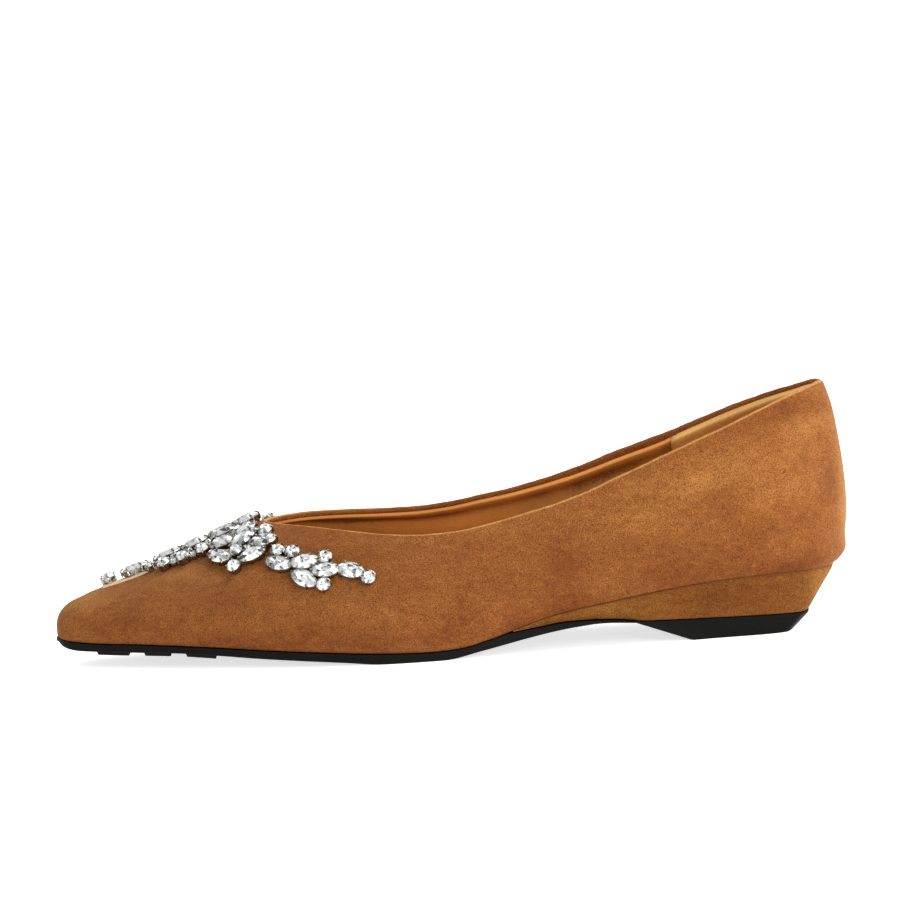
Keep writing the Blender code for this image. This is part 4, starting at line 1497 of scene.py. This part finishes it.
class SHOE_OT_heel_lift(bpy.types.Operator):
    """Makes the bevelled rubber block under the heel"""

    bl_idname = "shoe.make_heel_lift"
    bl_label = "Heel lift"

    def execute(self, context):
        turn = np.sin(np.linspace(0, math.pi / 2, SLAB_STATIONS))
        stations = LIFT_FRONT + (LIFT_BACK - LIFT_FRONT) * turn
        base_stations = LIFT_BASE_FRONT + (LIFT_BASE_BACK - LIFT_BASE_FRONT) * turn
        shares = np.linspace(0, 1, SLAB_LINES)
        top = rungs(stations, foot_outer, foot_inner, lambda x: underside_height(x) - GAP, shares)
        bottom = top * np.array([1.0, LIFT_BASE_WIDTH, 0.0])
        bottom[:, :, 0] = base_stations[:, None]
        face = top - np.array([0.0, 0.0, LIFT_FACE])
        middle = bottom.mean(axis=(0, 1))
        layers = [top, face, face + (bottom - face) * LIFT_EDGE, bottom + (middle - bottom) * LIFT_ROUND]
        material = moulded_rubber("black_lift_rubber_cut", settings().lift_colour, rough=0.5)
        add_piece("heel_lift_rubber", slab_mesh(layers), material, ["heel_lift"], sharp=30)
        return {"FINISHED"}


# Crystals


def stone_place(node):
    """A stone's kind and place, from its CAD node: its flat underside is its largest face."""
    areas = {}
    for face in node.data.polygons:
        key = tuple(round(c, NORMAL_DIGITS) for c in face.normal)
        areas[key] = areas.get(key, 0.0) + face.area
    normal = -Vector(max(areas, key=areas.get)).normalized()
    points = [v.co / MM + Vector(SHOE_CENTRE) for v in node.data.vertices]
    lowest = min(p.dot(normal) for p in points)
    base = [p for p in points if p.dot(normal) < lowest + BASE_CLOSE]
    longest = max((a - b for a in base for b in base), key=lambda v: v.length)
    centre = sum(base, Vector()) / len(base)
    long_way = (longest - normal * longest.dot(normal)).normalized()
    place = Matrix((long_way, normal.cross(long_way), normal)).transposed().to_4x4()
    place.translation = centre
    return ("navette" if longest.length > NAVETTE_LENGTH else "round"), place


def girdle_point(kind, angle, share, up):
    """A point at an angle round the stone: a circle, or two arcs that meet in points."""
    long, short = STONE_SPAN[kind]
    x = math.cos(angle)
    y = math.sin(angle)
    if kind == "navette":
        y = math.copysign(abs(y) ** NAVETTE_FULLNESS, y)
    return Vector((x * long * share, y * short * share, up))


def ring_of(kind, count, offset, share, up):
    """Points round the stone at even angles."""
    return [girdle_point(kind, 2 * math.pi * (i + offset) / count, share, up) for i in range(count)]


def stone_facets(kind):
    """The facets of a brilliant cut: stars, kites and girdle facets, and the pavilion seen in the table."""
    n = STONE_SIDES
    girdle = ring_of(kind, 2 * n, 0.0, 1.0, GIRDLE_UP)
    waist = ring_of(kind, 2 * n, 0.0, WAIST_SHARE, GIRDLE_UP - GIRDLE_THICK)
    middle = ring_of(kind, n, 0.0, MIDDLE_SHARE, MIDDLE_UP)
    table = ring_of(kind, n, 0.5, TABLE_SHARE, TABLE_UP)
    heart = ring_of(kind, n, 0.0, HEART_SHARE, PAVILION_UP)
    centre = Vector((0, 0, TABLE_UP - TABLE_SINK))
    facets = []
    for k in range(n):
        after = (k + 1) % n
        facets.append((table[k - 1], middle[k], table[k]))
        facets.append((table[k], middle[k], girdle[2 * k + 1], middle[after]))
        facets.append((middle[k], girdle[2 * k], girdle[2 * k + 1]))
        facets.append((middle[k], girdle[2 * k - 1], girdle[2 * k]))
        facets.append((heart[k], table[k - 1], table[k]))
        facets.append((heart[k], table[k], heart[after]))
        facets.append((heart[k], heart[after], centre))
    for i in range(2 * n):
        after = (i + 1) % (2 * n)
        facets.append((girdle[i], waist[i], waist[after], girdle[after]))
    facets.append(tuple(reversed(waist)))
    return facets


def is_free(point, stones, radius):
    """Whether a small stone has room at a point between the others."""
    for kind, place in stones:
        local = place.inverted() @ point
        long, short = (half + radius / place.median_scale for half in STONE_SPAN[kind])
        if (local.x / long) ** 2 + (local.y / short) ** 2 < FILLER_CLEAR:
            return False
    return True


def small_stones(stones):
    """Small stones half way between near neighbours, wherever there is room, standing on the same skin."""
    radius = STONE_SPAN["round"][0] * FILLER_SCALE
    found = []
    for i, (_, a) in enumerate(stones):
        for _, b in stones[:i]:
            gap = (a.translation - b.translation).length
            alike = a.col[2].xyz.dot(b.col[2].xyz)
            along = (a.translation.x + b.translation.x) / 2
            if gap > FILLER_REACH or alike < FILLER_ALIKE or not FILLER_RUN[0] < along < FILLER_RUN[1]:
                continue
            middle = a.lerp(b, 0.5)
            middle.translation += middle.col[2].xyz * gap / 2 * math.tan(math.acos(min(alike, 1.0)) / 4)
            if is_free(middle.translation, stones + found, radius):
                found.append(("round", middle @ Matrix.Scale(FILLER_SCALE, 4)))
    return found


def add_setting(bm, kind, place):
    """The cup under a stone, and its claws bent over the crown."""
    rings = []
    for share, up in CUP_LEVELS:
        ring = [place @ p for p in ring_of(kind, CUP_SIDES, 0.0, share, up)]
        rings.append([bm.verts.new(p) for p in ring])
    close_rings(bm, rings)
    for degrees in CLAW_ANGLES[kind]:
        angle = math.radians(degrees)
        path = [place @ girdle_point(kind, angle, share, up) for share, up in CLAW_LEVELS]
        add_tube(bm, path, [CLAW_THICK * taper for taper in CLAW_TAPER], CLAW_SIDES)


def near_two(points, i):
    """The two nearest neighbours of a point."""
    others = (k for k in range(len(points)) if k != i)
    return sorted(others, key=lambda k: (points[k] - points[i]).length)[:2]


def add_bars(bm, places):
    """Thin bars that join each setting to its two neighbours, each bar once."""
    feet = [place @ Vector((0, 0, BAR_UP)) for place in places]
    for i, foot in enumerate(feet):
        for k in near_two(feet, i):
            if (feet[k] - foot).length < BAR_REACH and (i < k or i not in near_two(feet, k)):
                add_tube(bm, [foot, feet[k]], [BAR_THICK, BAR_THICK], CLAW_SIDES)


class SHOE_OT_crystals(bpy.types.Operator):
    """Makes the cut stones, their claw settings and the strip that backs them"""

    bl_idname = "shoe.make_crystals"
    bl_label = "Crystal spray"

    def execute(self, context):
        names = sorted(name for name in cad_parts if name.startswith("crystal_"))
        stones = [stone_place(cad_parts[name]) for name in names]
        stones += small_stones(stones)
        self.make_stones(stones, names)
        bm = bmesh.new()
        for kind, place in stones:
            add_setting(bm, kind, place)
        add_bars(bm, [place for _, place in stones])
        add_piece("claw_settings", bm, plated_claw("nickel_plate_stamped"), sharp=50)
        self.make_strip()
        return {"FINISHED"}

    def make_stones(self, stones, names):
        """All stones as one mesh of flat facets, each with its own painted reflection."""
        chance = random.Random(FACET_SEED)
        bm = bmesh.new()
        painted_reflection = bm.faces.layers.float.new("facet")
        for kind, place in stones:
            for facet in stone_facets(kind):
                face = bm.faces.new([bm.verts.new(place @ p) for p in facet])
                # Each facet is dealt a painted reflection
                face[painted_reflection] = chance.choice(FACET_PAINTED_REFLECTIONS)
        material = foiled_crystal("clear_crystal_cut_and_foiled")
        piece = add_piece("crystal_stones", bm, material, names)
        piece.data.shade_flat()

    def make_strip(self):
        """The pale strip that shows under the stones towards the toe."""
        points = []
        normals = []
        for wall in make_walls(settings().edge_radius).values():
            grid = wall_grid(wall, even_rows(wall, FACE_ROWS))
            points.extend(grid[0][:VAMP_COLUMNS].reshape(-1, 3))
            normals.extend(grid[1][:VAMP_COLUMNS].reshape(-1, 3))
        tree = point_tree(points)
        lower = np.zeros((STRIP_STATIONS, STRIP_LINES, 3))
        upper = np.zeros_like(lower)
        for i, along in enumerate(np.linspace(STRIP_START, STRIP_END, STRIP_STATIONS)):
            for j, across in enumerate(np.linspace(-STRIP_HALF, STRIP_HALF, STRIP_LINES)):
                up = ridge_height(along) - STRIP_CROWN * across**2
                near = tree.find_n(Vector((along, ridge_across(along) + across, up)), STRIP_NEAR)
                place = sum((Vector(points[k]) / (d + STRIP_SOFT) for _, k, d in near), Vector())
                place /= sum(1 / (d + STRIP_SOFT) for _, _, d in near)
                normal = Vector(normals[near[0][1]])
                lower[i, j] = place - normal * STRIP_SINK
                upper[i, j] = place + normal * STRIP_THICK
        material = felt_backing("cream_felt_tape_pressed")
        add_piece("crystal_backing", slab_mesh([upper, lower]), material, sharp=40)


# Studio


def aim(obj, at, target):
    """Puts a light at a point and turns it to another, both in millimetres in the CAD's frame."""
    place = Vector(at) * MM
    obj.location = place
    obj.rotation_euler = (Vector(target) * MM - place).to_track_quat("-Z", "Y").to_euler()


class SHOE_OT_stage(bpy.types.Operator):
    """Makes the pale floor, the soft lights and the photograph's camera"""

    bl_idname = "shoe.make_stage"
    bl_label = "Studio"

    def execute(self, context):
        self.make_floor()
        self.make_lights()
        self.make_camera()
        # The plain sRGB view keeps the suede as warm as it is in the photograph
        context.scene.view_settings.view_transform = "Standard"
        return {"FINISHED"}

    def make_floor(self):
        """A board that sweeps up behind the shoe."""
        sweep = [(-BOARD_HALF, 0.0), (BOARD_BACK, 0.0)]
        for angle in np.linspace(0, math.pi / 2, BOARD_STEPS)[1:]:
            back = BOARD_BACK + BOARD_SWEEP * math.sin(angle)
            sweep.append((back, BOARD_SWEEP * (1 - math.cos(angle))))
        sweep.append((BOARD_BACK + BOARD_SWEEP, BOARD_TOP))
        bm = bmesh.new()
        add_grid(bm, [[(x, y, z) for y, z in sweep] for x in (-BOARD_HALF, BOARD_HALF)])
        mesh = bpy.data.meshes.new("studio_board")
        bm.to_mesh(mesh)
        bm.free()
        mesh.shade_smooth()
        mesh.materials.append(lit_acrylic("opal_acrylic_cast_matt"))
        new_object("studio_board", mesh)

    def make_lights(self):
        """A plain room, and soft lights over the shoe, by the camera, behind the heel and on the board."""
        world = bpy.data.worlds.new("plain_room")
        bpy.context.scene.world = world
        world.use_nodes = True
        sky = world.node_tree.nodes["Background"]
        sky.inputs["Color"].default_value = (*settings().room_colour, 1.0)
        sky.inputs["Strength"].default_value = settings().room_light
        for light in SOFT_LIGHTS:
            lamp = bpy.data.lights.new(f"{light.name}_softbox", "AREA")
            lamp.energy = getattr(settings(), f"{light.name}_power")
            lamp.size = light.width
            aim(new_object(lamp.name, lamp), light.place, light.target)

    def make_camera(self):
        """The photograph's camera: almost level, square to the outer side and a little rolled."""
        down = math.radians(CAMERA_DOWN)
        roll = math.radians(CAMERA_ROLL)
        level = Vector((1, 0, 0))
        ahead = Vector((0, math.cos(down), -math.sin(down)))
        over = Vector((0, math.sin(down), math.cos(down)))
        right = level * math.cos(roll) - over * math.sin(roll)
        up = level * math.sin(roll) + over * math.cos(roll)
        centre = IMAGE_PX / 2
        aside = (centre - AIMED_PX[0]) / CAMERA_FOCUS_PX
        above = (AIMED_PX[1] - centre) / CAMERA_FOCUS_PX
        ahead = (ahead + right * aside + up * above).normalized()
        right = ahead.cross(up).normalized()
        up = right.cross(ahead)
        data = bpy.data.cameras.new("photo_camera")
        data.sensor_width = SENSOR
        data.lens = CAMERA_FOCUS_PX * SENSOR / IMAGE_PX
        data.clip_end = CAMERA_FAR
        camera = new_object("photo_camera", data)
        turn = Matrix((right, up, -ahead)).transposed().to_4x4()
        camera.matrix_world = Matrix.Translation(Vector(CAMERA_AT) * MM) @ turn
        bpy.context.scene.camera = camera


class SHOE_PT_pieces(bpy.types.Panel):
    """Lists the shoe's pieces and its settings"""

    bl_idname = "SHOE_PT_pieces"
    bl_label = "Suede flat"
    bl_space_type = "VIEW_3D"
    bl_region_type = "UI"
    bl_category = "Shoe"

    def draw(self, context):
        for operator in PIECES:
            self.layout.operator(operator.bl_idname)
        for name in SuedeFlatSettings.__annotations__:
            self.layout.prop(settings(), name)


PIECES = [
    SHOE_OT_upper,
    SHOE_OT_lining,
    SHOE_OT_insole,
    SHOE_OT_wedge,
    SHOE_OT_outsole,
    SHOE_OT_heel_lift,
    SHOE_OT_crystals,
    SHOE_OT_stage,
]
CLASSES = [SuedeFlatSettings, *PIECES, SHOE_PT_pieces]


def register():
    """Registers the classes and hangs the settings on the scene."""
    for cls in CLASSES:
        bpy.utils.register_class(cls)
    bpy.types.Scene.suede_flat = bpy.props.PointerProperty(type=SuedeFlatSettings)


def unregister():
    """Takes the settings and the classes away again."""
    del bpy.types.Scene.suede_flat
    for cls in reversed(CLASSES):
        bpy.utils.unregister_class(cls)


def main():
    register()
    bpy.ops.shoe.make_stage()
    bpy.ops.shoe.make_upper()
    bpy.ops.shoe.make_lining()
    bpy.ops.shoe.make_insole()
    bpy.ops.shoe.make_wedge()
    bpy.ops.shoe.make_outsole()
    bpy.ops.shoe.make_heel_lift()
    bpy.ops.shoe.make_crystals()


if __name__ == "__main__":
    main()
